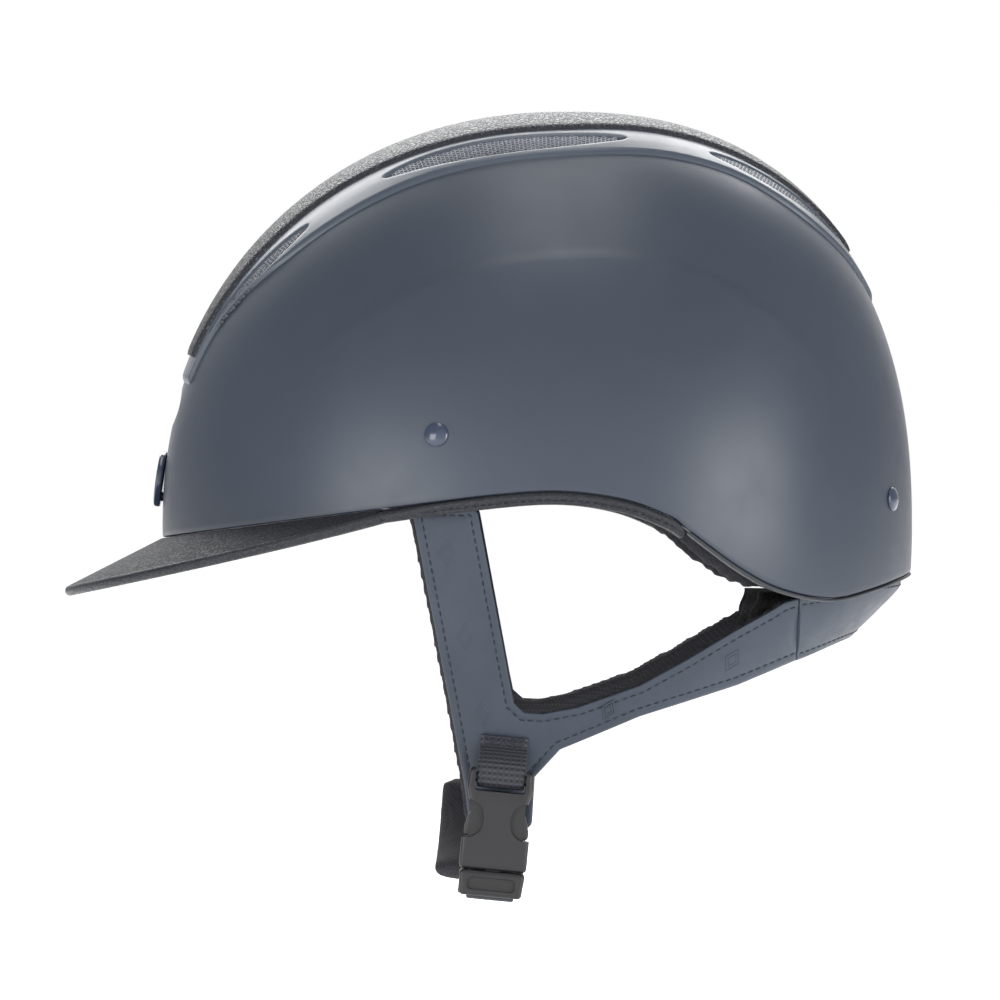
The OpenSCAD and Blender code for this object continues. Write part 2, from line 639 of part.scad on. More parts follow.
outer_shell();
centre_panel();
top_strip();
vent_front_left();
vent_front_right();
vent_mid_left();
vent_mid_right();
vent_rear_left();
vent_rear_right();
front_grille();
badge_plate();
badge_clips();
rivets();
rivet_washers();
strap_anchors();
peak_core();
peak_cover();
peak_underside();
peak_piping();
rim_trim_left();
rim_trim_right();
rim_binding();
foam_liner();
hook_tape();
headband();
brow_pad();
rear_pad();
crown_pad();
side_pad_left();
side_pad_right();
nape_mesh();
nape_band();
nape_lining();
harness_left();
harness_right();
lining_left();
lining_right();
loop_webbing();
anchor_webbing();
buckle_socket();
buckle_plug();
prong_front();
prong_rear();
plug_webbing();
chin_webbing();
webbing_tail();
strap_slider();
chin_pad();
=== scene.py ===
"""Looks of the riding helmet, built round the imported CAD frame.

Lengths in this file are in millimetres until put() turns them into the frame's metres.
+Z is up, -Y is the front, +X is the wearer's left.
"""
import math
import random

import bpy
import bmesh
import numpy as np
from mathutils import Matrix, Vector
from mathutils.geometry import delaunay_2d_cdt


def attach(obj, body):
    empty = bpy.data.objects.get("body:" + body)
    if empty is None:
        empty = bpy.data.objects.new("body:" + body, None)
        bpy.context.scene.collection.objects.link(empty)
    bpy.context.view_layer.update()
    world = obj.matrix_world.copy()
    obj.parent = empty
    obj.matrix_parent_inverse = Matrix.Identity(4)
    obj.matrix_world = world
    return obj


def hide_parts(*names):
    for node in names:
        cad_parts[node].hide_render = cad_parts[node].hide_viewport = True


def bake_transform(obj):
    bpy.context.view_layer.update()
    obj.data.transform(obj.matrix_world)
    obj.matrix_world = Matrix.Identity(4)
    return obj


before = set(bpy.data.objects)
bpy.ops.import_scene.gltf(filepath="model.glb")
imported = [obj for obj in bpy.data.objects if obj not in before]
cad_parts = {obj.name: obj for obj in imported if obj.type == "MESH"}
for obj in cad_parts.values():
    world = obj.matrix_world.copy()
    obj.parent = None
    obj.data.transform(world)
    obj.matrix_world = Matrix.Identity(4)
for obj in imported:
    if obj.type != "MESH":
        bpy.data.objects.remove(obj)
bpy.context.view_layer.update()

MM = 0.001

# ---------------------------------------------------------------- the head shape, as in the CAD
HALF_W, FRONT, REAR, CROWN = 105.0, 141.0, 121.4, 142.4
CY, CZ, SKIRT, PLAN = 10.0, 5.0, 120.0, 2.15
SHELL_T, PANEL_T, STRIP_T = 2.8, 1.3, 1.3
FOAM_OUT, FOAM_IN = 4.6, 24.0
BAND_OUT, BAND_IN = 25.1, 30.1
LOWEST_BAND = -16.0
RIM = [(-131, 1), (-100, 5), (-48, 11.5), (-13, 15.8), (8, 16.8), (29, 14), (45, 8), (49.5, 4.4),
       (67.5, -8.4), (82, -15.6), (101, -19.2), (115, -16.4), (131.4, -11)]
PANEL = [(20, 26), (30, 32), (45, 46), (70, 50), (95, 46.5), (115, 39.5), (130, 30), (144, 4)]
STRIP = [(24, 24), (35, 28), (50, 32), (73, 34), (98, 30.5), (112, 26), (125, 18.5), (136, 8)]
VENTS = {"front": (28.1, 49.5, 30, 37.5, 40.5, 0.7), "mid": (62.2, 98.9, 41, 42, 37.5, 1.0),
         "rear": (111, 133.9, 33.5, 28, 14.5, 0.85)}
VENT_HALF = 4.6
FRONT_PSI = 17
HEX = 0.866  # row spacing of holes set in triangles, over their pitch
RIVETS = [(65.9, 35.8), (158.1, 14.3), (-65.9, 35.8), (-158.1, 14.3)]
CREASE = [(-84, 60), (-62, 76), (-40, 87.5), (-13, 95.5), (18, 98.5), (48, 94.5), (75, 81.5), (95, 65),
          (108, 50)]


def curve(points, x):
    """A smooth curve through given points, at x."""
    p = np.asarray(points, float)
    px, py = p[:, 0], p[:, 1]
    n = len(px)
    a, b = np.maximum(np.arange(n) - 1, 0), np.minimum(np.arange(n) + 1, n - 1)
    m = (py[b] - py[a]) / (px[b] - px[a])
    c = np.clip(x, px[0], px[-1])
    i = np.clip(np.searchsorted(px, c, side="right") - 1, 0, n - 2)
    w = px[i + 1] - px[i]
    u = (c - px[i]) / w
    return ((2 * u**3 - 3 * u**2 + 1) * py[i] + (u**3 - 2 * u**2 + u) * m[i] * w
            + (3 * u**2 - 2 * u**3) * py[i + 1] + (u**3 - u**2) * m[i + 1] * w)


def smooth(x, a, b):
    """0 before a, 1 after b, eased between."""
    u = np.clip((np.asarray(x, float) - a) / (b - a), 0, 1)
    return u * u * (3 - 2 * u)


def wall_exp(x, y):
    """How square the dome's side is in a direction: rounder in front, squarer behind."""
    n = x * x + y * y
    return 2 + np.where(y < 0, 0.12, 0.33) * np.where(n < 1e-9, 0, y * y / np.maximum(n, 1e-9))


def plan_inv(x, y, t):
    """One over the distance to layer t's plan outline in a direction."""
    return ((np.abs(x) / (HALF_W - t)) ** PLAN
            + (np.abs(y) / (np.where(y < 0, FRONT, REAR) - t)) ** PLAN) ** (1 / PLAN)


def stack(x, y, z):
    return np.stack(np.broadcast_arrays(x, y, z), axis=-1)


def at_height(phi, z, t):
    """The point of layer t at an angle from the front and a height."""
    phi = np.radians(np.asarray(phi, float))
    x, y = np.sin(phi), -np.cos(phi)
    p = wall_exp(x, y)
    h = np.where(np.asarray(z) > CZ, CROWN - t, SKIRT)
    r = (1 - (np.abs(z - CZ) / h) ** p) ** (1 / p) / plan_inv(x, y, t)
    return stack(r * x, CY + r * y, np.asarray(z, float))


def toward(dx, dy, dz, t):
    """The point of layer t in a direction from the dome's centre."""
    p = wall_exp(dx, dy)
    h = np.where(dz > 0, CROWN - t, SKIRT)
    r = (plan_inv(dx, dy, t) ** p + (np.abs(dz) / h) ** p) ** (-1 / p)
    return stack(r * dx, CY + r * dy, CZ + r * dz)


def over_crown(psi, x, t):
    """The point of layer t at an angle over the crown (0 front, 90 top) and a distance from the middle."""
    psi = np.radians(np.asarray(psi, float))
    x = np.asarray(x, float)
    b = np.zeros(np.broadcast(psi, x, np.asarray(t, float)).shape)
    for _ in range(3):
        p = toward(np.sin(b), -np.cos(psi) * np.cos(b), np.sin(psi) * np.cos(b), t)
        r = np.sqrt(p[..., 0] ** 2 + (p[..., 1] - CY) ** 2 + (p[..., 2] - CZ) ** 2)
        b = np.arcsin(np.clip(x / r, -0.99, 0.99))
    return toward(np.sin(b), -np.cos(psi) * np.cos(b), np.sin(psi) * np.cos(b), t)


def turn_of(phi):
    """The angle from the front, either way round, between 0 and 180."""
    a = np.abs(phi)
    return np.where(a > 180, 360 - a, a)


def rim_z(phi, t=0.0):
    """The rim's height; for an inner layer t, the rim's height at the layer's own distance along."""
    return curve(RIM, at_height(phi, CZ, t)[..., 1])


def harness_w(z, t):
    """Half the width between the straps at a height; they close in towards the chin."""
    return 92 + (z - 10) * 0.28 - t


def harness_len(z, t):
    """How far behind the centre the nape band lies at a height."""
    return 117.6 + np.minimum(0, z + 16) * 0.98 - t


def harness_x(y, z, t):
    """The distance of the strap's layer t from the middle plane."""
    d = y - CY
    q = np.abs(d) / np.where(d < 0, FRONT - t, harness_len(z, t))
    return harness_w(z, t) * (1 - np.minimum(q, 0.985) ** PLAN) ** (1 / PLAN)


def harness_at(phi, z, t):
    """The point of the nape band's layer t at an angle from the front and a height."""
    phi = np.radians(np.asarray(phi, float))
    x, y = np.sin(phi), -np.cos(phi)
    r = ((np.abs(x) / harness_w(z, t)) ** PLAN
         + (np.abs(y) / np.where(y < 0, FRONT - t, harness_len(z, t))) ** PLAN) ** (-1 / PLAN)
    return stack(r * x, CY + r * y, np.asarray(z, float))


# ---------------------------------------------------------------- meshes
def link(name, verts, faces, mat, sharp=40, uv=None):
    """A mesh object from points in millimetres."""
    me = bpy.data.meshes.new(name)
    me.from_pydata((np.asarray(verts, float) * MM).tolist(), [], faces)
    ob = bpy.data.objects.new(name, me)
    bpy.context.scene.collection.objects.link(ob)
    if uv is not None:
        layer = me.uv_layers.new(name="UVMap")
        loops = np.empty(len(me.loops), dtype=np.int32)
        me.loops.foreach_get("vertex_index", loops)
        layer.data.foreach_set("uv", (np.asarray(uv, float)[loops] * MM).ravel())
    tidy_mesh(ob, sharp)
    if mat:
        me.materials.append(mat)
    return ob


def tidy_mesh(ob, sharp=40):
    """Merges doubled points, turns faces outward, and shades smoothly up to an angle."""
    bm = bmesh.new()
    bm.from_mesh(ob.data)
    bmesh.ops.remove_doubles(bm, verts=bm.verts, dist=1e-6)
    bmesh.ops.dissolve_degenerate(bm, dist=1e-7, edges=bm.edges)
    bmesh.ops.recalc_face_normals(bm, faces=bm.faces)
    bm.to_mesh(ob.data)
    bm.free()
    shade_to_angle(ob, sharp)


def shade_to_angle(ob, sharp):
    ob.data.shade_smooth()
    ob.data.set_sharp_from_angle(angle=math.radians(sharp))


def drop_loose(ob):
    """Removes the points that no face uses."""
    bm = bmesh.new()
    bm.from_mesh(ob.data)
    bmesh.ops.delete(bm, geom=[v for v in bm.verts if not v.link_faces], context="VERTS")
    bm.to_mesh(ob.data)
    bm.free()
    return ob


def wrap_faces(r, c, close_r=False, close_c=False, base=0):
    """The four-sided faces of a grid of r rows and c columns, closed on itself either way if asked."""
    out = []
    for i in range(r if close_r else r - 1):
        for j in range(c if close_c else c - 1):
            a, b = i * c + j, i * c + (j + 1) % c
            d, e = ((i + 1) % r) * c + j, ((i + 1) % r) * c + (j + 1) % c
            out.append((base + a, base + b, base + e, base + d))
    return out


def loft(name, sections, mat, ring=False, sharp=40, uv_len=False):
    """A solid through closed sections of the same number of points, capped or closed into a ring."""
    s = np.asarray(sections, float)
    r, k = s.shape[:2]
    faces = wrap_faces(r, k, ring, True)
    if not ring:
        faces += [tuple(range(k - 1, -1, -1)), tuple((r - 1) * k + j for j in range(k))]
    uv = None
    if uv_len:
        along = np.concatenate([[0], np.cumsum(np.linalg.norm(np.diff(s[:, 0], axis=0), axis=1))])
        around = np.concatenate([[0], np.cumsum(np.linalg.norm(np.diff(s[r // 2], axis=0), axis=1))])
        uv = np.stack(np.broadcast_arrays(along[:, None], around[None, :]), -1).reshape(-1, 2)
    return link(name, s.reshape(-1, 3), faces, mat, sharp, uv)


def slab(name, top, low, mat, keep=None, sharp=40):
    """A solid between two grids of points; cells where keep is false are left open, with walls."""
    top, low = np.asarray(top, float), np.asarray(low, float)
    r, c = top.shape[:2]
    keep = np.ones((r - 1, c - 1), bool) if keep is None else keep
    n = r * c
    faces = []
    for i, j in zip(*np.nonzero(keep)):
        a = int(i) * c + int(j)
        faces.append((a, a + 1, a + c + 1, a + c))
        faces.append((n + a, n + a + c, n + a + c + 1, n + a + 1))
        for out, p, q in ((i == 0 or not keep[i - 1, j], a, a + 1),
                          (i == r - 2 or not keep[i + 1, j], a + c + 1, a + c),
                          (j == 0 or not keep[i, j - 1], a + c, a),
                          (j == c - 2 or not keep[i, j + 1], a + 1, a + c + 1)):
            if out:
                faces.append((p, n + p, n + q, q))
    return drop_loose(link(name, np.concatenate([top.reshape(-1, 3), low.reshape(-1, 3)]), faces, mat, sharp))


def apply_modifiers(ob):
    """Makes what the modifiers show the mesh itself."""
    bpy.context.view_layer.update()
    dg = bpy.context.evaluated_depsgraph_get()
    me = bpy.data.meshes.new_from_object(ob.evaluated_get(dg))
    old = ob.data
    ob.modifiers.clear()
    ob.data = me
    bpy.data.meshes.remove(old)


def join(name, obs):
    """One object made of several, keeping their materials."""
    for o in bpy.context.selected_objects:
        o.select_set(False)
    for o in obs:
        o.select_set(True)
    bpy.context.view_layer.objects.active = obs[0]
    bpy.ops.object.join()
    obs[0].name = obs[0].data.name = name
    return obs[0]


def cut(ob, cutters, sharp=40):
    """Takes the cutters out of ob and removes them."""
    tool = join(ob.name + "_cutter", cutters) if len(cutters) > 1 else cutters[0]
    m = ob.modifiers.new("cut", "BOOLEAN")
    m.object, m.solver, m.operation = tool, "EXACT", "DIFFERENCE"
    apply_modifiers(ob)
    bpy.data.objects.remove(tool)
    shade_to_angle(ob, sharp)
    return ob


def bevel(ob, width, segments=3, angle=30):
    """Rounds the edges sharper than an angle."""
    m = ob.modifiers.new("bevel", "BEVEL")
    m.width, m.segments, m.limit_method = width * MM, segments, "ANGLE"
    m.angle_limit, m.harden_normals = math.radians(angle), False
    apply_modifiers(ob)
    shade_to_angle(ob, 50)
    return ob


def put(ob, body, replaces=()):
    """Rides ob on a body and hides the CAD parts it replaces."""
    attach(ob, body)
    if replaces:
        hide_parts(*replaces)
    return ob


def lathe(name, profile, mat, n=48, frame_at=None, sharp=35):
    """Turns a profile of (radius, height) about +Z, then sets it on a point with that normal."""
    a = np.linspace(0, 2 * np.pi, n, endpoint=False)
    pr = np.asarray(profile, float)
    pts = stack(pr[:, None, 0] * np.cos(a), pr[:, None, 0] * np.sin(a), pr[:, None, 1] + 0 * a)
    if frame_at is not None:
        p, nrm = frame_at
        rot = np.array(Vector(nrm).to_track_quat("Z", "Y").to_matrix())
        pts = pts @ rot.T + np.asarray(p)
    return link(name, pts.reshape(-1, 3), wrap_faces(len(pr), n, False, True), mat, sharp)


def normal_at(phi, z):
    """The shell's outward normal at an angle and a height."""
    a = at_height(phi + 0.5, z, 0.0) - at_height(phi - 0.5, z, 0.0)
    b = at_height(phi, z + 1.0, 0.0) - at_height(phi, z - 1.0, 0.0)
    n = np.cross(a, b)
    return n / np.linalg.norm(n)


# ---------------------------------------------------------------- materials
def mat_base(name, color, rough, metallic=0.0, **sockets):
    """A material, its node tree and its main shader; other sockets by name, with _ for a space."""
    m = bpy.data.materials.new(name)
    m.use_nodes = True
    nt = m.node_tree
    b = nt.nodes["Principled BSDF"]
    b.inputs["Base Color"].default_value = (*color, 1)
    b.inputs["Roughness"].default_value = rough
    b.inputs["Metallic"].default_value = metallic
    for k, v in sockets.items():
        b.inputs[k.replace("_", " ")].default_value = v
    return m, nt, b


def node(nt, kind, **props):
    """A shader node; each value goes to the input of that name, or else to the property."""
    n = nt.nodes.new("ShaderNode" + kind)
    for k, v in props.items():
        if k in n.inputs.keys():
            n.inputs[k].default_value = v
        else:
            setattr(n, k, v)
    return n


def coords(nt, uv=False):
    return node(nt, "TexCoord").outputs["UV" if uv else "Object"]


def noise_tex(nt, vec, scale, detail=3, rough=0.5):
    n = node(nt, "TexNoise", Scale=scale, Detail=detail, Roughness=rough)
    nt.links.new(vec, n.inputs["Vector"])
    return n.outputs["Fac"]


def math_node(nt, op, a, b=None):
    """A sum or function of two inputs, each a number or another node's output."""
    n = node(nt, "Math", operation=op)
    for i, v in enumerate((a, b)):
        if v is None:
            continue
        if isinstance(v, (int, float)):
            n.inputs[i].default_value = v
        else:
            nt.links.new(v, n.inputs[i])
    return n.outputs[0]


def blend_of(nt, a, share_a, b, share_b):
    """Two outputs added in given shares."""
    return math_node(nt, "ADD", math_node(nt, "MULTIPLY", a, share_a), math_node(nt, "MULTIPLY", b, share_b))


def ramp(nt, fac, stops):
    """A colour ramp; stops are (position, colour or grey)."""
    n = node(nt, "ValToRGB")
    el = n.color_ramp.elements
    while len(el) < len(stops):
        el.new(0.5)
    for e, (p, c) in zip(el, stops):
        e.position = p
        e.color = (*c, 1) if isinstance(c, (tuple, list)) else (c, c, c, 1)
    nt.links.new(fac, n.inputs["Fac"])
    return n.outputs["Color"]


def bump(nt, b, height, strength, distance, after=None):
    """Relief on shader b, added to an earlier one if given."""
    n = node(nt, "Bump", Strength=strength, Distance=distance * MM)
    nt.links.new(height, n.inputs["Height"])
    if after is not None:
        nt.links.new(after, n.inputs["Normal"])
    nt.links.new(n.outputs["Normal"], b.inputs["Normal"])
    return n.outputs["Normal"]


def shade(c, k):
    """A colour made darker or lighter."""
    return tuple(min(1, v * k) for v in c)


def tint(nt, b, fac, color, span, dark, light):
    """Colours shader b from dark to light times a colour as fac crosses a span."""
    stops = [(span[0], shade(color, dark)), (span[1], shade(color, light))]
    nt.links.new(ramp(nt, fac, stops), b.inputs["Base Color"])


def gloss(nt, b, fac, span, low, high):
    """Takes shader b's roughness from low to high as fac crosses a span."""
    nt.links.new(ramp(nt, fac, [(span[0], low), (span[1], high)]), b.inputs["Roughness"])


def lacquer(name, color, rough, grain=1800, **kw):
    """Satin paint: a faint mottling, fine orange peel and small changes of gloss."""
    m, nt, b = mat_base(name, color, rough, **kw)
    v = coords(nt)
    tint(nt, b, noise_tex(nt, v, 14, 4), color, (0.3, 0.7), 0.93, 1.07)
    fine = noise_tex(nt, v, grain, 2)
    gloss(nt, b, noise_tex(nt, v, 90, 6, 0.7), (0.35, 0.75), rough - 0.03, rough + 0.05)
    bump(nt, b, fine, 0.12, 0.05)
    return m


def pebble(name, color, scale=620, rough=0.42, depth=0.35, **kw):
    """Pebble-grained leather: rounded cells with valleys painted darker as shade, and a finer grain over them."""
    m, nt, b = mat_base(name, color, rough, **kw)
    v = coords(nt)
    warp = noise_tex(nt, v, scale * 0.6, 2)
    mix = node(nt, "VectorMath", operation="MULTIPLY_ADD")
    nt.links.new(warp, mix.inputs[0])
    mix.inputs[1].default_value = (0.0016, 0.0016, 0.0016)
    nt.links.new(v, mix.inputs[2])
    cell = node(nt, "TexVoronoi", feature="SMOOTH_F1", Scale=scale, Smoothness=0.35)
    nt.links.new(mix.outputs[0], cell.inputs["Vector"])
    edge = node(nt, "TexVoronoi", feature="DISTANCE_TO_EDGE", Scale=scale)
    nt.links.new(mix.outputs[0], edge.inputs["Vector"])
    valley = ramp(nt, edge.outputs["Distance"], [(0.0, 0.0), (0.22, 1.0)])
    tone = noise_tex(nt, v, 22, 4)
    light = ramp(nt, tone, [(0.3, shade(color, 0.85)), (0.75, shade(color, 1.18))])
    # the random tone is multiplied by the valley mask: painted shade in the grain's valleys
    valley_shade_mix = node(nt, "Mix", data_type="RGBA", blend_type="MULTIPLY")
    valley_shade_mix.inputs[0].default_value = 0.55
    nt.links.new(light, valley_shade_mix.inputs[6])
    nt.links.new(valley, valley_shade_mix.inputs[7])
    nt.links.new(valley_shade_mix.outputs[2], b.inputs["Base Color"])
    gloss(nt, b, valley, (0.0, 1.0), rough + 0.22, rough)
    grain = noise_tex(nt, v, scale * 5, 3)
    n1 = bump(nt, b, grain, 0.15, 0.06)
    bump(nt, b, valley, 0.55, depth, n1)
    return m


def calf(name, color, rough=0.5, **kw):
    """Smooth leather: fine pores, faint creases and a soft mottling."""
    m, nt, b = mat_base(name, color, rough, **kw)
    v = coords(nt)
    tint(nt, b, noise_tex(nt, v, 30, 5), color, (0.3, 0.72), 0.86, 1.16)
    pores = node(nt, "TexVoronoi", feature="F1", Scale=1900)
    nt.links.new(v, pores.inputs["Vector"])
    crease = noise_tex(nt, v, 160, 6, 0.7)
    gloss(nt, b, crease, (0.3, 0.8), rough - 0.05, rough + 0.1)
    n1 = bump(nt, b, pores.outputs["Distance"], 0.22, 0.12)
    bump(nt, b, crease, 0.25, 0.25, n1)
    return m


def weave(name, color, pitch=0.9, rough=0.8, depth=0.3, rib=1.0, uv=True, **kw):
    """Woven tape: ribs across and threads along, from the piece's own length and width, its dips painted darker
    as shade.
    """
    m, nt, b = mat_base(name, color, rough, **kw)
    v = coords(nt, uv=uv)
    sep = node(nt, "SeparateXYZ")
    nt.links.new(v, sep.inputs[0])
    k = 2 * math.pi / (pitch * MM)
    along = math_node(nt, "SINE", math_node(nt, "MULTIPLY", sep.outputs[0], k * rib))
    across = math_node(nt, "SINE", math_node(nt, "MULTIPLY", sep.outputs[1], k))
    both = math_node(nt, "MULTIPLY", along, across)
    height = math_node(nt, "ADD", blend_of(nt, both, 0.3, along, 0.35), 0.5)
    fuzz = noise_tex(nt, coords(nt), 2600, 4)
    # colour from the weave's height mixed with a random fuzz tone: painted shade in the dips between threads, the
    # rib tops painted lighter
    tint(nt, b, blend_of(nt, height, 0.7, fuzz, 0.3), color, (0.2, 0.8), 0.45, 1.7)
    n1 = bump(nt, b, fuzz, 0.3, 0.08)
    bump(nt, b, height, 0.8, depth, n1)
    return m


def cloth_mat(name, color, pitch=1.3, rough=0.9, **kw):
    """Lining cloth: a fine knit in all three directions, with pilling, its dips painted darker as shade."""
    m, nt, b = mat_base(name, color, rough, **kw)
    v = coords(nt)
    k = 2 * math.pi / (pitch * MM)
    sep = node(nt, "SeparateXYZ")
    nt.links.new(v, sep.inputs[0])
    s = [math_node(nt, "SINE", math_node(nt, "MULTIPLY", sep.outputs[i], k)) for i in range(3)]
    height = blend_of(nt, s[0], s[1], s[1], s[2])
    height = math_node(nt, "ADD", height, math_node(nt, "MULTIPLY", s[2], s[0]))
    height = math_node(nt, "ADD", math_node(nt, "MULTIPLY", height, 0.25), 0.5)
    fuzz = noise_tex(nt, v, 1500, 4)
    tone = noise_tex(nt, v, 40, 4)
    # colour half from the knit's height, half a random tone: painted shade in the knit's dips
    tint(nt, b, blend_of(nt, height, 0.5, tone, 0.5), color, (0.25, 0.75), 0.5, 1.6)
    n1 = bump(nt, b, fuzz, 0.35, 0.15)
    bump(nt, b, height, 0.6, 0.25, n1)
    return m


def moulded(name, color, rough=0.38, **kw):
    """Moulded plastic: a fine spark texture, a little duller in patches."""
    m, nt, b = mat_base(name, color, rough, **kw)
    v = coords(nt)
    fine = noise_tex(nt, v, 3200, 3, 0.7)
    gloss(nt, b, noise_tex(nt, v, 70, 4), (0.3, 0.75), rough - 0.06, rough + 0.08)
    tint(nt, b, fine, color, (0.3, 0.7), 0.85, 1.15)
    bump(nt, b, fine, 0.2, 0.06)
    return m


def beads(name, color):
    """Bead foam: packed rounded beads, painted darker in the gaps between them as shade."""
    m, nt, b = mat_base(name, color, 0.75)
    v = coords(nt)
    cell = node(nt, "TexVoronoi", feature="DISTANCE_TO_EDGE", Scale=330)
    nt.links.new(v, cell.inputs["Vector"])
    h = ramp(nt, cell.outputs["Distance"], [(0.0, 0.0), (0.3, 1.0)])
    # darker towards each bead's edge: painted shade in the gaps between beads
    tint(nt, b, h, color, (0.0, 1.0), 0.5, 1.25)
    bump(nt, b, h, 0.5, 0.25)
    return m


def wire(name, color, low, high):
    """Painted perforated metal, mottled between two colours."""
    m, nt, b = mat_base(name, color, 0.4, 0.5)
    v = coords(nt)
    nt.links.new(ramp(nt, noise_tex(nt, v, 500, 3), [(0.3, low), (0.7, high)]), b.inputs["Base Color"])
    bump(nt, b, noise_tex(nt, v, 5000, 2), 0.2, 0.05)
    return m


M = {}
M["shell"] = lacquer("shell_lacquer", (0.040, 0.051, 0.073), 0.36)
M["panel"] = lacquer("panel_lacquer", (0.058, 0.073, 0.098), 0.33)
M["pebble"] = pebble("pebbled_leather", (0.014, 0.018, 0.027))
M["piping"] = pebble("rolled_leather", (0.014, 0.017, 0.025), rough=0.42, depth=0.14)
# the peak's cover is the same pebbled leather as the top strip, painted darker as shade: a shaded, rougher copy
# of it
M["brim"] = pebble("peak_leather_painted_shade", (0.008, 0.011, 0.018), rough=0.6)
M["calf"] = calf("smooth_leather", (0.032, 0.043, 0.064))
M["thread"] = weave("navy_thread", (0.018, 0.023, 0.034), pitch=0.5, uv=False)
M["mesh"] = wire("vent_mesh", (0.10, 0.11, 0.135), (0.07, 0.08, 0.10), (0.13, 0.14, 0.165))
M["rivet"] = lacquer("rivet_lacquer", (0.030, 0.042, 0.078), 0.2, Coat_Weight=0.6, Coat_Roughness=0.1)
M["zinc"] = lacquer("zinc_steel", (0.55, 0.56, 0.58), 0.35, grain=3000, metallic=1.0)
M["edge"] = moulded("edge_rubber", (0.020, 0.023, 0.030), 0.5)
M["foam"] = beads("bead_foam", (0.014, 0.015, 0.017))
M["board"] = moulded("board", (0.02, 0.02, 0.022), 0.7)
M["web"] = weave("webbing", (0.031, 0.034, 0.042), pitch=1.9, rib=1.0)
M["tape"] = weave("tape", (0.010, 0.010, 0.012), pitch=1.0, uv=False)
M["plastic"] = moulded("buckle_plastic", (0.016, 0.016, 0.018), 0.36)
M["pad"] = cloth_mat("padded_fabric", (0.022, 0.022, 0.027))
M["gusset"] = cloth_mat("mesh_fabric", (0.010, 0.010, 0.012), pitch=2.2)

# ---------------------------------------------------------------- shell
def vent_mid(u, v):
    return v[2] * (1 - u) * (1 - 2 * u) + 4 * v[3] * u * (1 - u) + v[4] * u * (2 * u - 1)


def vent_wide(u, v, extra=0.0):
    return extra + VENT_HALF * v[5] * np.maximum(0, 1 - (2 * u - 1) ** 2) ** 0.7


def vent_plug(v, t0, t1, extra, side, rows=40):
    """A lens-shaped plug through layers t0 to t1 at a vent."""
    u = np.linspace(0, 1, rows + 1)[:, None]
    psi = v[0] + (v[1] - v[0]) * u + (2 * u - 1) * extra / 2
    x = side * vent_mid(u, v) + np.array([-1.0, 0.0, 1.0])[None, :] * np.maximum(vent_wide(u, v, extra), 0.25)
    return slab("plug", over_crown(psi, x, t0), over_crown(psi, x, t1), None)


def front_lens(u, extra=0.0):
    return 1.0 + extra + 18 * np.sqrt(np.maximum(0, 1 - u * u))


def front_plug(t0, t1, extra, rows=24, cols=16):
    u = np.linspace(-1, 1, rows + 1)[:, None]
    psi = FRONT_PSI + (3.1 + extra / 4) * u
    x = np.linspace(-1, 1, cols + 1)[None, :] * front_lens(u, extra)
    return slab("plug", over_crown(psi, x, t0), over_crown(psi, x, t1), None)


def crease_lift(p):
    """How far the shell's side stands proud below the crease line."""
    y, z = p[..., 1], p[..., 2]
    under = curve(CREASE, y) - z
    fade = smooth(y, -88, -45) * (1 - smooth(y, 84, 112))
    step = smooth(under, -1.0, 3.5) * np.exp(-np.maximum(under, 0) / 14)
    return 0.9 * fade * step


def shell_surface():
    cols, rows = 400, 150
    phi = np.arange(cols) * 360.0 / cols
    edge = [(0.0, 0.9), (0.12, 0.4), (0.5, 0.08), (1.4, 0.0), (2.3, 0.08), (2.68, 0.4), (SHELL_T, 0.9)]
    z0 = rim_z(phi)

    def side(t, n):
        e = at_height(phi, z0 + 0.9, t)
        low = np.degrees(np.arctan2(e[:, 2] - CZ, np.hypot(e[:, 0], e[:, 1] - CY)))
        out = []
        for i in range(n + 1):
            a = np.radians(low + (90 - low) * (i / n))
            f = np.radians(phi)
            out.append(toward(np.cos(a) * np.sin(f), -np.cos(a) * np.cos(f), np.sin(a), t))
        return out

    outer = side(0.0, rows)
    for i, p in enumerate(outer):
        d = p - np.array([0, CY, CZ])
        d /= np.linalg.norm(d, axis=1)[:, None]
        outer[i] = p + d * crease_lift(p)[:, None]
    lip = [at_height(phi, z0 + h, t) for t, h in edge[1:-1]]
    inner = side(SHELL_T, rows // 3)
    grid = np.array(outer[::-1] + lip + inner)
    r = len(grid)
    return link("outer_shell_skin", grid.reshape(-1, 3), wrap_faces(r, cols, False, True), M["shell"], 35)


shell = shell_surface()
plugs = [vent_plug(v, -4, 7, 0.35, s) for s in (-1, 1) for v in VENTS.values()] + [front_plug(-4, 7, 0.0)]
cut(shell, plugs, 35)
put(shell, "helmet", ["outer_shell"])


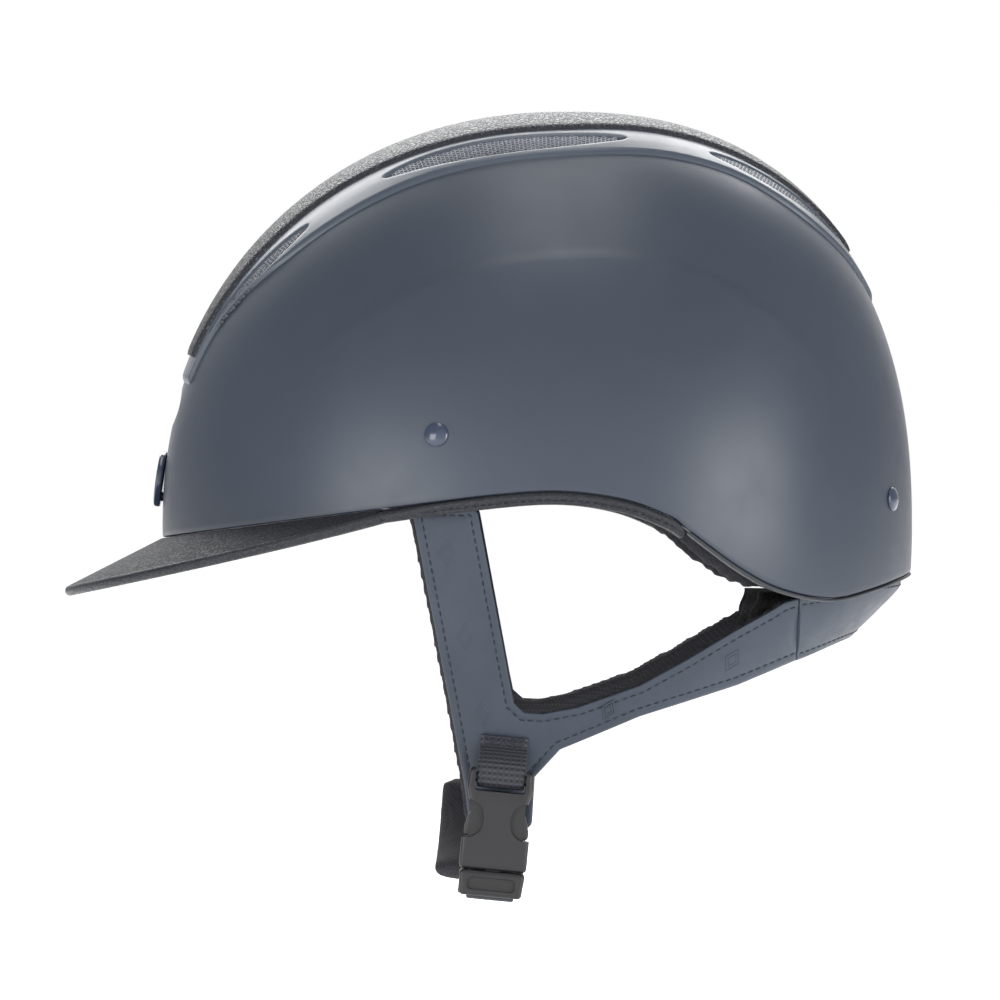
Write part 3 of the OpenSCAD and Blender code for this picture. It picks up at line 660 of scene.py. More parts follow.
def panel_surface():
    """The raised centre panel: a grid whose columns follow the vents' edges, with the vents left open."""
    psi = np.unique(np.concatenate([np.linspace(20.6, 144, 260)]
                                   + [np.linspace(v[0] - 0.6, v[1] + 0.6, 60) for v in VENTS.values()]))
    w = curve(PANEL, psi)
    knots = []
    for v in VENTS.values():
        for u in (0.0, 0.5, 1.0):
            knots.append((v[0] + (v[1] - v[0]) * u, vent_mid(u, v)))
    mid = np.minimum(curve(knots, psi), w - 1.5)
    half = np.zeros_like(psi)
    for v in VENTS.values():
        u = (psi - v[0]) / (v[1] - v[0])
        inside = (u > 0) & (u < 1)
        half[inside] = vent_wide(u[inside], v)
    half_c = np.maximum(half, 0.03)
    lip = np.array([2.2, 1.5, 0.9, 0.45, 0.15, 0.0])
    low, high = mid - half_c, np.minimum(mid + half_c, w - 0.8)
    room = np.clip((w - high) / 5.0, 0.12, 1)
    rim = np.array([1.7, 1.1, 0.6, 0.25, 0.0])
    cols, tops, lows = [], [], []
    lens = smooth(half, 0.0, 0.7)

    def add(x, t, b):
        cols.append(x)
        tops.append(t + 0 * psi)
        lows.append(b + 0 * psi)

    inner_edge = np.maximum(low - lip[0], 0.5)
    for f in np.linspace(0, 1, 7)[:-1]:
        add(inner_edge * f, -PANEL_T, 0.05)
    for k in lip:
        drop = 0.9 * (1 - np.sqrt(np.clip(1 - (1 - k / 1.5) ** 2, 0, 1))) if k < 1.5 else 0.0
        add(np.maximum(low - k, 0.4), -PANEL_T + lens * drop, 0.05 + lens * (1.9 if k < 1.2 else 0.0))
    hole_col = len(cols) - 1
    for k in lip[::-1]:
        drop = 0.9 * (1 - np.sqrt(np.clip(1 - (1 - k / 1.5) ** 2, 0, 1))) if k < 1.5 else 0.0
        add(high + k * room, -PANEL_T + lens * drop, 0.05 + lens * (1.9 if k < 1.2 else 0.0))
    for k in rim:
        face = -PANEL_T * np.sqrt(np.clip(1 - (1 - min(k / 1.1, 1)) ** 2, 0, 1)) + 0.04
        add(w - k * room, face if k < 1.1 else -PANEL_T, 0.06)
    x, t, low_t = np.array(cols).T, np.array(tops).T, np.array(lows).T
    x = np.maximum.accumulate(x, axis=1)
    x = np.concatenate([-x[:, :0:-1], x], axis=1)
    t = np.concatenate([t[:, :0:-1], t], axis=1)
    low_t = np.concatenate([low_t[:, :0:-1], low_t], axis=1)
    ends = smooth(psi, psi[0], psi[0] + 1.1) * (1 - smooth(psi, psi[-1] - 1.6, psi[-1]))
    t = t * ends[:, None] ** 0.5 + 0.04 * (1 - ends[:, None])
    n = len(cols)
    keep = np.ones((len(psi) - 1, x.shape[1] - 1), bool)
    opened = (half[:-1] > 0.05) & (half[1:] > 0.05)
    keep[opened, n - 1 + hole_col] = False
    keep[opened, n - 2 - hole_col] = False
    p = psi[:, None]
    return slab("centre_panel_skin", over_crown(p, x, t), over_crown(p, x, low_t), M["panel"], keep, 38)


panel = put(panel_surface(), "helmet", ["centre_panel"])


def strip_surface():
    """The pebbled strip: padded a little, rounded at its edges and ends."""
    psi = np.linspace(24.4, 136, 220)
    w = curve(STRIP, psi)
    end = np.sqrt(np.clip(1 - (1 - np.minimum(psi - 24.0, 1.6) / 1.6) ** 2, 0, 1)) \
        * np.sqrt(np.clip(1 - (1 - np.minimum(136.4 - psi, 2.5) / 2.5) ** 2, 0, 1))
    steps = np.array([0, 0.15, 0.45, 0.9, 1.5, 2.4])
    rise = np.array([0.0, 0.42, 0.72, 0.9, 0.98, 1.0])
    mid = np.linspace(-1, 1, 26)[1:-1]
    sides = [w - k for k in steps]
    xs = np.concatenate([[-x for x in sides], [(w - steps[-1]) * m for m in mid], sides[::-1]]).T
    hs = np.concatenate([rise, np.ones(len(mid)), rise[::-1]])
    t = -PANEL_T + 0.1 - (STRIP_T + 0.15) * hs[None, :] * end[:, None]
    low = np.full_like(t, -PANEL_T + 0.3)
    p = psi[:, None]
    return slab("top_strip_leather", over_crown(p, xs, t), over_crown(p, xs, low), M["pebble"])


put(strip_surface(), "helmet", ["top_strip"])


def mesh_insert(name, inside, spots, point, hole=0.62, thick=0.42):
    """A perforated sheet with real round holes, curved to the shell: a ring round each hole."""
    verts, faces = [], []
    k = 12
    for a, c in spots:
        if not inside(a, c):
            continue
        base = len(verts)
        ring = [(a + r * math.cos(q), c + r * math.sin(q)) for r in (hole, hole * 1.32)
                for q in (2 * math.pi * i / k for i in range(k))]
        verts += [point(x, y, 0.0) for x, y in ring] + [point(x, y, thick) for x, y in ring]
        for i in range(k):
            j = (i + 1) % k
            faces += [(base + i, base + j, base + k + j, base + k + i),
                      (base + 2 * k + i, base + 3 * k + i, base + 3 * k + j, base + 2 * k + j),
                      (base + i, base + 2 * k + i, base + 2 * k + j, base + j),
                      (base + k + i, base + k + j, base + 3 * k + j, base + 3 * k + i)]
    return link(name, verts, faces, M["mesh"], 50)


def side_vent(key, side):
    """One perforated vent insert: holes in rows along the vent's middle line."""
    v = VENTS[key]
    psis = np.linspace(v[0] - 0.6, v[1] + 0.6, 80)
    line = over_crown(psis, side * vent_mid(np.clip((psis - v[0]) / (v[1] - v[0]), 0, 1), v), 0.9)
    run = np.concatenate([[0], np.cumsum(np.linalg.norm(np.diff(line, axis=0), axis=1))])
    pitch = 1.55
    spots = [(i * pitch * HEX, (j + 0.5 * (i % 2)) * pitch)
             for i in range(int(run[-1] / pitch / HEX) + 1) for j in range(-4, 5)]

    def wide(s):
        u = (np.interp(s, run, psis) - v[0]) / (v[1] - v[0])
        return vent_wide(np.clip(u, 0, 1), v) if 0 <= u <= 1 else 0.0

    def point(s, c, d):
        psi = float(np.interp(s, run, psis))
        u = min(max((psi - v[0]) / (v[1] - v[0]), 0), 1)
        return over_crown(psi, side * (vent_mid(u, v) + c), -0.8 + d)

    node_name = f"vent_{key}_{'left' if side > 0 else 'right'}"
    ob = mesh_insert(node_name + "_mesh", lambda s, c: abs(c) < wide(s) - 0.2 and wide(s) > 1.3, spots, point)
    return put(ob, "helmet", [node_name])


for key in VENTS:
    for s in (1, -1):
        side_vent(key, s)



def front_grille(pitch=1.7, half=8.3):
    """The perforated insert behind the lens-shaped opening over the badge."""
    def inside(a, c):
        return abs(a) < front_lens(min(abs(c) / (half + 0.1), 1)) + 0.4 and abs(c) < half

    def point(a, c, d):
        return over_crown(FRONT_PSI + c * 3.1 / 7.6, a, 1.1 + d)

    spots = [((j + 0.5 * (i % 2)) * pitch, (i - 5) * pitch * HEX) for i in range(11) for j in range(-12, 13)]
    return mesh_insert("front_grille_mesh", inside, spots, point, 0.68)


put(front_grille(), "helmet", ["front_grille"])

# ---------------------------------------------------------------- stitches, ribbons, sheets, pads
def unit(v):
    v = np.asarray(v, float)
    return v / np.maximum(np.linalg.norm(v, axis=-1, keepdims=True), 1e-9)


def along(path, s):
    """Points of a polyline at distances s from its start."""
    p = np.asarray(path, float)
    run = np.concatenate([[0], np.cumsum(np.linalg.norm(np.diff(p, axis=0), axis=1))])
    return np.stack([np.interp(s, run, p[:, k]) for k in range(p.shape[1])], -1), run[-1]


def stitches(name, path, normal, pitch=3.0, length=2.3, r=0.27):
    """A row of thread stitches along a path, each dipping into the leather at its ends."""
    _, total = along(path, [0])
    s = np.arange(0.7 * pitch, total - 0.5 * pitch, pitch)
    mid = along(path, s)[0]
    t = unit(along(path, s + 0.4)[0] - along(path, s - 0.4)[0])
    n = unit(normal(mid))
    side = unit(np.cross(t, n))
    u = np.array([-1, -0.72, 0, 0.72, 1]) * length / 2
    rad = np.array([0.35, 0.9, 1, 0.9, 0.35]) * r
    lift = np.array([-0.9, 0.1, 0.4, 0.1, -0.9]) * r
    a = (np.arange(6) * math.pi / 3)[None, None, :, None]
    ring = side[:, None, None] * np.cos(a) + n[:, None, None] * np.sin(a)
    pts = (mid[:, None, None] + t[:, None, None] * u[None, :, None, None]
           + n[:, None, None] * lift[None, :, None, None] + ring * rad[None, :, None, None])
    faces = []
    for i in range(len(s)):
        faces += wrap_faces(5, 6, False, True, i * 30)
        faces += [tuple(i * 30 + q for q in range(5, -1, -1)), tuple(i * 30 + 24 + q for q in range(6))]
    return link(name, pts.reshape(-1, 3), faces, M["thread"], 60)


def ribbon(name, path, across, width, thick, mat, rib=1.5, deep=0.1):
    """Webbing along a path: a flat band with soft edges and woven ribs across it."""
    _, total = along(path, [0])
    s = np.linspace(0, total, max(8, int(total / 0.42)))
    c = along(path, s)[0]
    t = unit(np.gradient(c, axis=0))
    w = unit(np.broadcast_to(across, c.shape))
    n = unit(np.cross(t, w))
    half = thick / 2 * (1 - deep + deep * np.cos(2 * math.pi * s / rib))
    top = [(-0.985, 0.62), (-0.94, 0.95), (-0.5, 1.0), (0, 1.0), (0.5, 1.0), (0.94, 0.95), (0.985, 0.62)]
    prof = [(-1, 0.0)] + top + [(1, 0.0)] + [(-a, -b) for a, b in top]
    sec = np.stack([c + w * (a * width / 2) + n * (b * half)[:, None] for a, b in prof], axis=1)
    return loft(name, sec, mat, sharp=60, uv_len=True)


def poly_edges(p):
    p = np.asarray(p, float)
    e = unit(np.roll(p, -1, 0) - p)
    return p, e, np.stack([-e[:, 1], e[:, 0]], -1)


def inset(poly, d):
    """A counter-clockwise outline moved inward by d, corners kept sharp."""
    p, _, n = poly_edges(poly)
    return np.array([np.linalg.solve([n[i - 1], n[i]], [p[i] @ n[i - 1] + d, p[i] @ n[i] + d])
                     for i in range(len(p))])


def rounded(core, r, step=1.4):
    """The outline r outside a core, its outer corners rounded, sampled finely."""
    if r <= 0:
        corners = inset(core, -r)
        pts = list(corners)
    else:
        p, e, n = poly_edges(core)
        miter = inset(core, -r)
        pts = []
        for i in range(len(p)):
            if e[i - 1][0] * e[i][1] - e[i - 1][1] * e[i][0] > 0:
                a0 = math.atan2(-n[i - 1][1], -n[i - 1][0])
                a1 = math.atan2(-n[i][1], -n[i][0])
                while a1 < a0:
                    a1 += 2 * math.pi
                k = max(2, int((a1 - a0) / 0.2) + 1)
                pts += [p[i] + r * np.array([math.cos(a), math.sin(a)]) for a in np.linspace(a0, a1, k)]
            else:
                pts.append(miter[i])
    out = []
    for a, b in zip(pts, pts[1:] + pts[:1]):
        k = max(1, int(np.linalg.norm(b - a) / step))
        out += [a + (b - a) * q / k for q in range(k)]
    return np.array(out)


def clip_y(poly, top):
    out = []
    for a, b in zip(poly, np.roll(poly, -1, 0)):
        if a[0] <= top:
            out.append(a)
        if (a[0] - top) * (b[0] - top) < 0:
            out.append(a + (b - a) * (top - a[0]) / (b[0] - a[0]))
    return np.array(out)


def sdf(poly, pts):
    """Distance to an outline, positive inside."""
    a = np.asarray(poly, float)
    b = np.roll(a, -1, 0)
    q = np.asarray(pts, float)[:, None]
    ab, aq = b - a, q - a
    u = np.clip((aq * ab).sum(-1) / (ab * ab).sum(-1), 0, 1)
    d = np.linalg.norm(aq - u[..., None] * ab, axis=-1).min(1)
    cross = (a[:, 1] > q[..., 1]) != (b[:, 1] > q[..., 1])
    with np.errstate(divide="ignore", invalid="ignore"):
        xs = a[:, 0] + (q[..., 1] - a[:, 1]) * ab[:, 0] / ab[:, 1]
    inside = (cross & (q[..., 0] < xs)).sum(1) % 2 == 1
    return np.where(inside, d, -d)


def sheet_piece(name, outline, radius, insets, surf, mat, step=3.0, top=None, sharp=40, fine=1.4):
    """A solid sheet over a flat outline; surf(a, b, D) gives both faces from the distance D to the edge."""
    core = inset(outline, radius)
    loops = [rounded(core, radius - d, fine) for d in insets]
    if top is not None:
        loops = [clip_y(l, top) for l in loops]
    pts, edges = [], []
    for l in loops:
        k = len(pts)
        pts += [Vector((float(p[0]), float(p[1]))) for p in l]
        edges += [(k + i, k + (i + 1) % len(l)) for i in range(len(l))]
    lo, hi = np.min(outline, 0), np.max(outline, 0)
    g = np.meshgrid(np.arange(lo[0] + 0.3, hi[0], step), np.arange(lo[1] + 0.3, hi[1], step))
    g = np.stack(g, -1).reshape(-1, 2)
    keep = sdf(core, g) + radius > insets[-1] + 0.35 * step
    if top is not None:
        keep &= g[:, 0] < top - 0.4 * step
    pts += [Vector((float(p[0]), float(p[1]))) for p in g[keep]]
    v, _, f, _, _, _ = delaunay_2d_cdt(pts, edges, [], 0, 1e-5)
    v = np.array([(p.x, p.y) for p in v])
    f = np.array([tuple(t) for t in f if len(t) == 3])
    mid = v[f].mean(1)
    inside = sdf(loops[0], mid) > 1e-4
    f = f[inside]
    d = np.maximum(sdf(core, v) + radius, 0)
    up, down = surf(v[:, 0], v[:, 1], d)
    n = len(v)
    faces = [tuple(int(q) for q in t) for t in f] + [tuple(int(q) + n for q in t[::-1]) for t in f]
    count = {}
    for t in f:
        for a, b in ((t[0], t[1]), (t[1], t[2]), (t[2], t[0])):
            count[(int(a), int(b))] = 1
    for (a, b) in count:
        if (b, a) not in count:
            faces.append((b, a, a + n, b + n))
    return drop_loose(link(name, np.concatenate([up, down]), faces, mat, sharp))


def round_edge(d, r):
    """0 at the edge, 1 from r inward, along a quarter circle."""
    return np.sqrt(np.maximum(0, 1 - (1 - np.minimum(np.asarray(d) / r, 1)) ** 2))


def puff(ob, voxel=2.4, cap=1.0, pressure=4.0):
    """Blows the sewn cover up by cloth simulation and keeps the result; no point moves beyond cap."""
    m = ob.modifiers.new("skin", "REMESH")
    m.mode, m.voxel_size = "VOXEL", voxel * MM
    apply_modifiers(ob)
    rest = np.empty(len(ob.data.vertices) * 3)
    ob.data.vertices.foreach_get("co", rest)
    c = ob.modifiers.new("cloth", "CLOTH")
    c.settings.use_pressure = True
    c.settings.uniform_pressure_force = pressure
    c.settings.quality = 4
    c.settings.mass = 0.2
    c.settings.effector_weights.gravity = 0
    c.collision_settings.use_collision = False
    c.point_cache.frame_start, c.point_cache.frame_end = 1, 20
    scene = bpy.context.scene
    for f in range(1, 21):
        scene.frame_set(f)
    ev = ob.evaluated_get(bpy.context.evaluated_depsgraph_get())
    now = np.empty_like(rest)
    ev.data.vertices.foreach_get("co", now)
    ob.modifiers.clear()
    scene.frame_set(1)
    move = (now - rest).reshape(-1, 3)
    far = np.linalg.norm(move, axis=1, keepdims=True)
    move *= np.minimum(1, cap * MM / np.maximum(far, 1e-9))
    ob.data.vertices.foreach_set("co", (rest.reshape(-1, 3) + move).ravel())
    if voxel > 1.5:
        s = ob.modifiers.new("smooth", "SUBSURF")
        s.levels = s.render_levels = 1
        apply_modifiers(ob)
    ob.data.shade_smooth()
    return ob


def pad_piece(name, point, t0, t1, n, m, mat, power=8):
    """A pillow between layers t0 and t1 whose edges close in; u and v run from -1 to 1."""
    u = np.sin(np.linspace(-math.pi / 2, math.pi / 2, n))[:, None]
    v = np.sin(np.linspace(-math.pi / 2, math.pi / 2, m))[None, :]
    fat = np.sqrt(np.maximum(0, (1 - np.abs(u) ** power) * (1 - np.abs(v) ** power)))
    return slab(name, point(u, v, t0 + 0 * fat), point(u, v, t0 + (t1 - t0) * fat), mat)


# ---------------------------------------------------------------- peak
PIPE_R = 1.8
DROP = math.radians(27)
PEAK_LEN, PEAK_END = 39, 62
TUCK = -2.4
TOP_SIDE, UNDER_SIDE, PIPE_SIDE = 56.5, 56.0, 57.2


def peak_reach(phi):
    """How far the peak stands out at an angle from the front."""
    return np.maximum(2, PEAK_LEN * np.cos(np.radians(90 * phi / PEAK_END)))


def peak_at(phi, s, d):
    """The point of the peak s out from the shell and d below its top; inside the shell it runs level."""
    z0 = rim_z(np.abs(phi))
    e = at_height(phi, z0, 0.0)
    r = np.hypot(e[..., 0], e[..., 1] - CY) + s * math.cos(DROP) - d * math.sin(DROP)
    a = np.radians(phi)
    fall = np.maximum(s, 0) * math.sin(DROP) + d * math.cos(DROP)
    return stack(r * np.sin(a), CY - r * np.cos(a), e[..., 2] - 0.2 - fall)


def peak_grid(d, s_out, rows, side=53.0, cols=150):
    """One face of a layer of the peak, d below its top, ending s_out short of its edge."""
    phi = np.linspace(-side, side, cols)[None, :]
    s = TUCK + (peak_reach(phi) - s_out - TUCK) * np.linspace(0, 1, rows)[:, None]
    return peak_at(phi + 0 * s, s, d)


# the cover wears the darker painted-shade copy of the pebbled leather
cover = slab("peak_cover_leather", peak_grid(0.0, 2.0, 30, TOP_SIDE), peak_grid(0.95, 3.2, 30, TOP_SIDE),
             M["brim"])
put(cover, "helmet", ["peak_cover"])
core = slab("peak_core_board", peak_grid(1.02, 3.7, 16), peak_grid(2.5, 3.7, 16), M["board"])
put(bevel(core, 0.3, 2), "helmet", ["peak_core"])
under = slab("peak_underside_leather", peak_grid(2.6, 3.6, 26, UNDER_SIDE), peak_grid(3.6, 2.6, 26, UNDER_SIDE),
             M["calf"])
phi = np.linspace(-55, 55, 400)
seam = stitches("peak_under_stitch", peak_at(phi, peak_reach(phi) - 5.0, 3.6),
                lambda p: p * 0 + (0, 0, -1.0), 3.0, 2.2, 0.3)
put(join("peak_underside_leather", [under, seam]), "helmet", ["peak_underside"])


def piping_roll():
    """The rolled edge: round, with the groove of its seam underneath and its ends closed in."""
    sec = []
    a = np.linspace(0, 2 * np.pi, 24, endpoint=False)
    groove = 1 - 0.16 * np.exp(-((a - 4.5) / 0.22) ** 2)
    for phi in np.linspace(-PIPE_SIDE - 0.3, PIPE_SIDE + 0.3, 300):
        f = min(1.0, math.sqrt(max(0.0, 1 - max(0.0, abs(phi) - PIPE_SIDE) ** 2 / 0.36)) + 0.05)
        rr = PIPE_R * f * groove
        sec.append(peak_at(phi + 0 * a, peak_reach(phi) - PIPE_R + rr * np.cos(a), PIPE_R - rr * np.sin(a)))
    return loft("peak_piping_roll", sec, M["piping"], sharp=60)


put(piping_roll(), "helmet", ["peak_piping"])

# ---------------------------------------------------------------- rim
def rim_roll(name, phi0, phi1, n, section, mat, taper=1.6, swell=0):
    """A moulding along the rim: section gives (layer, height above the rim) points."""
    phi = np.linspace(phi0, phi1, n)
    z0 = rim_z(turn_of(phi))
    s = np.asarray(section, float)
    mid = s.mean(0)
    outer = np.clip((1.5 - s[:, 0]) / 2.5, 0, 1)[:, None] * np.array([[-2.2, -1.1]])
    mm = np.radians(phi - phi0) * HALF_W
    end = np.radians(phi1 - phi) * HALF_W
    out = []
    for j in range(n):
        f = round_edge(min(mm[j] if swell == 0 else 99, end[j]) + 0.04, taper)
        q = mid + (s - mid) * f + outer * swell * (1 - smooth(phi[j], phi0, phi0 + 9))
        out.append(at_height(phi[j] + 0 * q[:, 0], z0[j] + q[:, 1], q[:, 0]))
    return loft(name, out, mat, sharp=60)


TRIM = [(-0.15, -0.45), (-0.75, -0.8), (-1.0, -1.5), (-0.85, -2.2), (-0.45, -2.6), (-0.15, -2.95), (-0.1, -3.5),
        (0.15, -4.1), (0.7, -4.45), (2.2, -4.5), (3.8, -4.4), (4.6, -3.9), (4.6, -0.8), (4.2, -0.4), (2.2, -0.35),
        (0.6, -0.35)]
TRIM_START, TRIM_END = 57.6, 111.1
for side, tag in ((1, "left"), (-1, "right")):
    trim = rim_roll(f"rim_trim_{tag}_leather", TRIM_START, TRIM_END, 240, TRIM, M["piping"], swell=1)
    phi = np.linspace(60.0, 110.4, 210)
    line = at_height(phi, rim_z(phi) - 3.3, -0.12)
    st = stitches("trim_stitch", line, lambda p: unit(p - (0, CY, p[0][2])) * (1, 1, 0), 2.7, 2.0, 0.28)
    ob = join(f"rim_trim_{tag}_leather", [trim, st])
    if side < 0:
        for q in ob.data.vertices:
            q.co.x = -q.co.x
        ob.data.flip_normals()
    put(ob, "helmet", [f"rim_trim_{tag}"])
BIND = [(-0.22, -0.55), (-0.22, -0.9), (0.1, -1.2), (1.4, -1.33), (2.7, -1.2), (3.1, -0.95), (3.1, -0.5),
        (2.8, -0.25), (1.4, -0.22), (0.0, -0.25)]
BIND_START = TRIM_END + 0.8
binding = rim_roll("rim_binding_bead", BIND_START, 360 - BIND_START, 420, BIND, M["edge"], 0.8)
put(binding, "helmet", ["rim_binding"])

# ---------------------------------------------------------------- rivets, badge, anchors
HEAD = [(0.001, 1.7), (1.2, 1.61), (2.3, 1.36), (3.2, 1.03), (3.8, 0.72), (4.05, 0.45), (4.1, 0.2), (4.0, 0.03),
        (2.35, 0.02), (2.3, -5.9), (2.1, -6.0), (0.001, -6.0)]
WASH = [(2.45, 0.1), (2.6, 0), (5.3, 0), (5.5, 0.15), (5.5, 0.75), (5.3, 0.9), (2.6, 0.9), (2.45, 0.8)]
rivet_obs, washer_obs = [], []
for phi_r, z_r in RIVETS:
    n_r = normal_at(phi_r, z_r)
    p_r = at_height(phi_r, z_r, 0.0)
    up = p_r + n_r * float(crease_lift(p_r))
    rivet_obs.append(lathe("rivet", HEAD, M["rivet"], 40, (up, n_r), 50))
    washer_obs.append(lathe("washer", WASH + WASH[:1], M["zinc"], 36, (p_r - n_r * 5.7, n_r)))
put(join("rivets_domed", rivet_obs), "helmet", ["rivets"])
put(join("rivet_washers_turned", washer_obs), "helmet", ["rivet_washers"])

BADGE_Y, BADGE_Z = CY - FRONT - 0.6, 21.2
FACE = [(0.001, 1.75), (7.6, 1.75), (7.95, 1.85), (8.1, 2.2), (8.4, 2.38), (9.3, 2.38), (9.7, 2.15), (9.8, 1.8),
        (9.8, 0.5), (9.6, 0.15), (9.2, 0.0), (0.001, 0.0)]
POST = [(0.001, 7.9), (1.6, 7.9), (1.6, 0.15), (1.4, 0), (0.001, 0)]
CLIP = [(1.7, 0.1), (1.85, 0), (3.4, 0), (3.6, 0.2), (3.6, 0.8), (3.4, 1), (1.85, 1), (1.7, 0.9), (1.7, 0.1)]
POST_Z = (BADGE_Z - 6, BADGE_Z + 6)
TILT = math.radians(8)
FORWARD = (0, -1, 0)
badge_at = (0, BADGE_Y + 0.9, BADGE_Z), (0, -math.cos(TILT), math.sin(TILT))
badge = [lathe("badge", FACE, M["rivet"], 72, badge_at, 50)]
badge += [lathe("post", POST, M["panel"], 24, ((0, BADGE_Y + 7.4, z), FORWARD)) for z in POST_Z]
put(join("badge_plate_blank", badge), "helmet", ["badge_plate"])
clips = [lathe("clip", CLIP, M["zinc"], 30, ((0, BADGE_Y + 6.8, z), FORWARD)) for z in POST_Z]
put(join("badge_clips_spring", clips), "helmet", ["badge_clips"])

anchors = []
for side in (-1, 1):
    for mid_phi, low, high, half in ((66.6, 17.5, 45, 6.2), (158.1, -8, 24, 5)):
        u = np.linspace(-half, half, 16)[None, :]
        v = np.linspace(low, high, 30)[:, None]
        anchors.append(slab("anchor", at_height(side * (mid_phi + u), v + 0 * u, 3.45),
                            at_height(side * (mid_phi + u), v + 0 * u, 4.4), M["tape"]))
tape = join("strap_anchors_tape", anchors)
put(tape, "helmet", ["strap_anchors"])

# ---------------------------------------------------------------- liner
def dome_piece(name, t0, t1, lift, cols, rows, mat):
    """A thick dome between two layers, its foot a little above the rim and rounded."""
    phi = np.arange(cols) * 360.0 / cols
    turn = turn_of(phi)
    f = np.radians(phi)

    def side(t):
        e = at_height(phi, rim_z(turn, t) + lift + 1.0, t)
        low = np.degrees(np.arctan2(e[:, 2] - CZ, np.hypot(e[:, 0], e[:, 1] - CY)))
        return [toward(np.cos(a) * np.sin(f), -np.cos(a) * np.cos(f), np.sin(a), t)
                for a in (np.radians(low + (90 - low) * i / rows) for i in range(rows + 1))]

    edge = ((t0 + 0.4, 0.3), (t0 + 1.2, 0.0), (t1 - 1.2, 0.0), (t1 - 0.4, 0.3))
    foot = [at_height(phi, rim_z(turn, t) + lift + h, t) for t, h in edge]
    grid = np.array(side(t0)[::-1] + foot + side(t1))
    return link(name, grid.reshape(-1, 3), wrap_faces(len(grid), cols, False, True), mat, 40)


foam = dome_piece("foam_liner_moulded", FOAM_OUT, FOAM_IN, 4.5, 160, 50, M["foam"])
cut(foam, [vent_plug(v, 3, 28, -0.4, s) for s in (-1, 1) for v in VENTS.values()])
put(foam, "helmet", ["foam_liner"])


def ring_piece(name, t0, t1, drop, rise, mat, cols=220, rounding=2.2):
    """A band round the head between two layers, from a drop below the rim up by rise."""
    phi = np.arange(cols) * 360.0 / cols
    z0 = np.maximum(rim_z(turn_of(phi), BAND_OUT) - drop, LOWEST_BAND)
    mid_t, half_t = (t0 + t1) / 2, (t1 - t0) / 2
    edge = np.array([0, 0.35, 1.2, 2.4])
    h = np.concatenate([edge, np.linspace(5, rise - 5, 6), rise - edge[::-1]])
    fat = round_edge(np.minimum(h, rise - h), rounding)
    sec = [(mid_t - half_t * f, q) for q, f in zip(h, fat)]
    sec += [(mid_t + half_t * f, q) for q, f in list(zip(h, fat))[::-1]]
    sec = sec[:-1] if fat[0] < 1e-6 else sec
    grid = np.array([at_height(phi, z0 + hh, tt) for tt, hh in sec]).transpose(1, 0, 2)
    return loft(name, grid, mat, ring=True, sharp=60)


hook = ring_piece("hook_tape_strip", 24.6, 25.0, -6, 16, M["tape"], rounding=0.4)
put(hook, "helmet", ["hook_tape"])
band = puff(ring_piece("headband_padded", 25.7, 29.5, 5.3, 33, M["pad"]), 2.6, 0.6)
put(band, "helmet", ["headband"])


def wall_point(phi0, phi1, low, high):
    """For pad_piece: points on the wall between two angles and two heights."""
    return lambda u, v, t: at_height((phi0 + phi1) / 2 + (phi1 - phi0) / 2 * v + 0 * u,
                                     (low + high) / 2 + (high - low) / 2 * u + 0 * v, t)


ON_BAND, ON_FOAM = (31.3, 33.5), (25.3, 29.4)
for name, args, (t0, t1) in (("brow_pad", (-40, 40, 4.5, 29.5), ON_BAND),
                             ("rear_pad", (148, 212, -7.5, 15.5), ON_BAND),
                             ("side_pad_left", (69, 121, 52.5, 87.5), ON_FOAM),
                             ("side_pad_right", (-121, -69, 52.5, 87.5), ON_FOAM)):
    ob = puff(pad_piece(name + "_quilted", wall_point(*args), t0, t1, 30, 60, M["pad"]), 2.2, 0.5)
    put(ob, "helmet", [name])
CROWN_LINE = [(58, 20), (68, 40), (90, 46), (112, 40), (122, 20)]


def crown_point(u, v, t):
    """For pad_piece: points over the crown, as wide as the crown line says."""
    psi = 90 + 31.5 * u + 0 * v
    return over_crown(psi, (curve(CROWN_LINE, psi) - 0.6) * v, t)


crown = puff(pad_piece("crown_pad_quilted", crown_point, 25.4, 29.3, 60, 70, M["pad"]), 2.6, 0.5)
put(crown, "helmet", ["crown_pad"])

# ---------------------------------------------------------------- harness leather and linings
YOKE = [(-42.5, 11.5), (-30, -54), (-25, -82), (-23, -98), (-2, -98), (-1, -80), (7.5, -70.6), (34.6, -59.3),
        (68.4, -49), (88, -41.3), (97, -38.5), (97, -19.0), (88, -19.5), (84, -20.6), (78, -24.2), (66.6, -30.4),
        (50, -40.2), (34.5, -48.6), (13.4, -56.0), (1.6, -58.2), (-4.6, -57.8), (-8.0, -54.8), (-9.2, -49),
        (-20.5, 11.5)]
CUT = 88.6
SEW = 2.7


def ripple(y, z):
    """The gentle unevenness of the leather."""
    broad = 0.16 * np.sin(0.11 * y + 0.05 * z) * np.sin(0.09 * z - 0.04 * y)
    return broad + 0.1 * np.sin(0.21 * y - 0.13 * z + 1)


def leather_faces(d):
    """Outer and inner layers at a distance from the edge: rounded, with a dip along the seam."""
    h = 0.8 * round_edge(d, 0.9)
    groove = 0.3 * np.exp(-((d - SEW) / 0.55) ** 2)
    crown = 0.35 * smooth(d, SEW, SEW + 5)
    return 0.8 - h + groove - crown, 0.8 + h


def leather_surf(side):
    """For sheet_piece: both faces of one side's strap leather."""
    def surf(y, z, d):
        o, i = leather_faces(d)
        o = o + ripple(y, z) * smooth(d, 2, 6) * (1 - smooth(y, 70, 87))
        return stack(side * harness_x(y, z, o), y, z), stack(side * harness_x(y, z, i), y, z)
    return surf


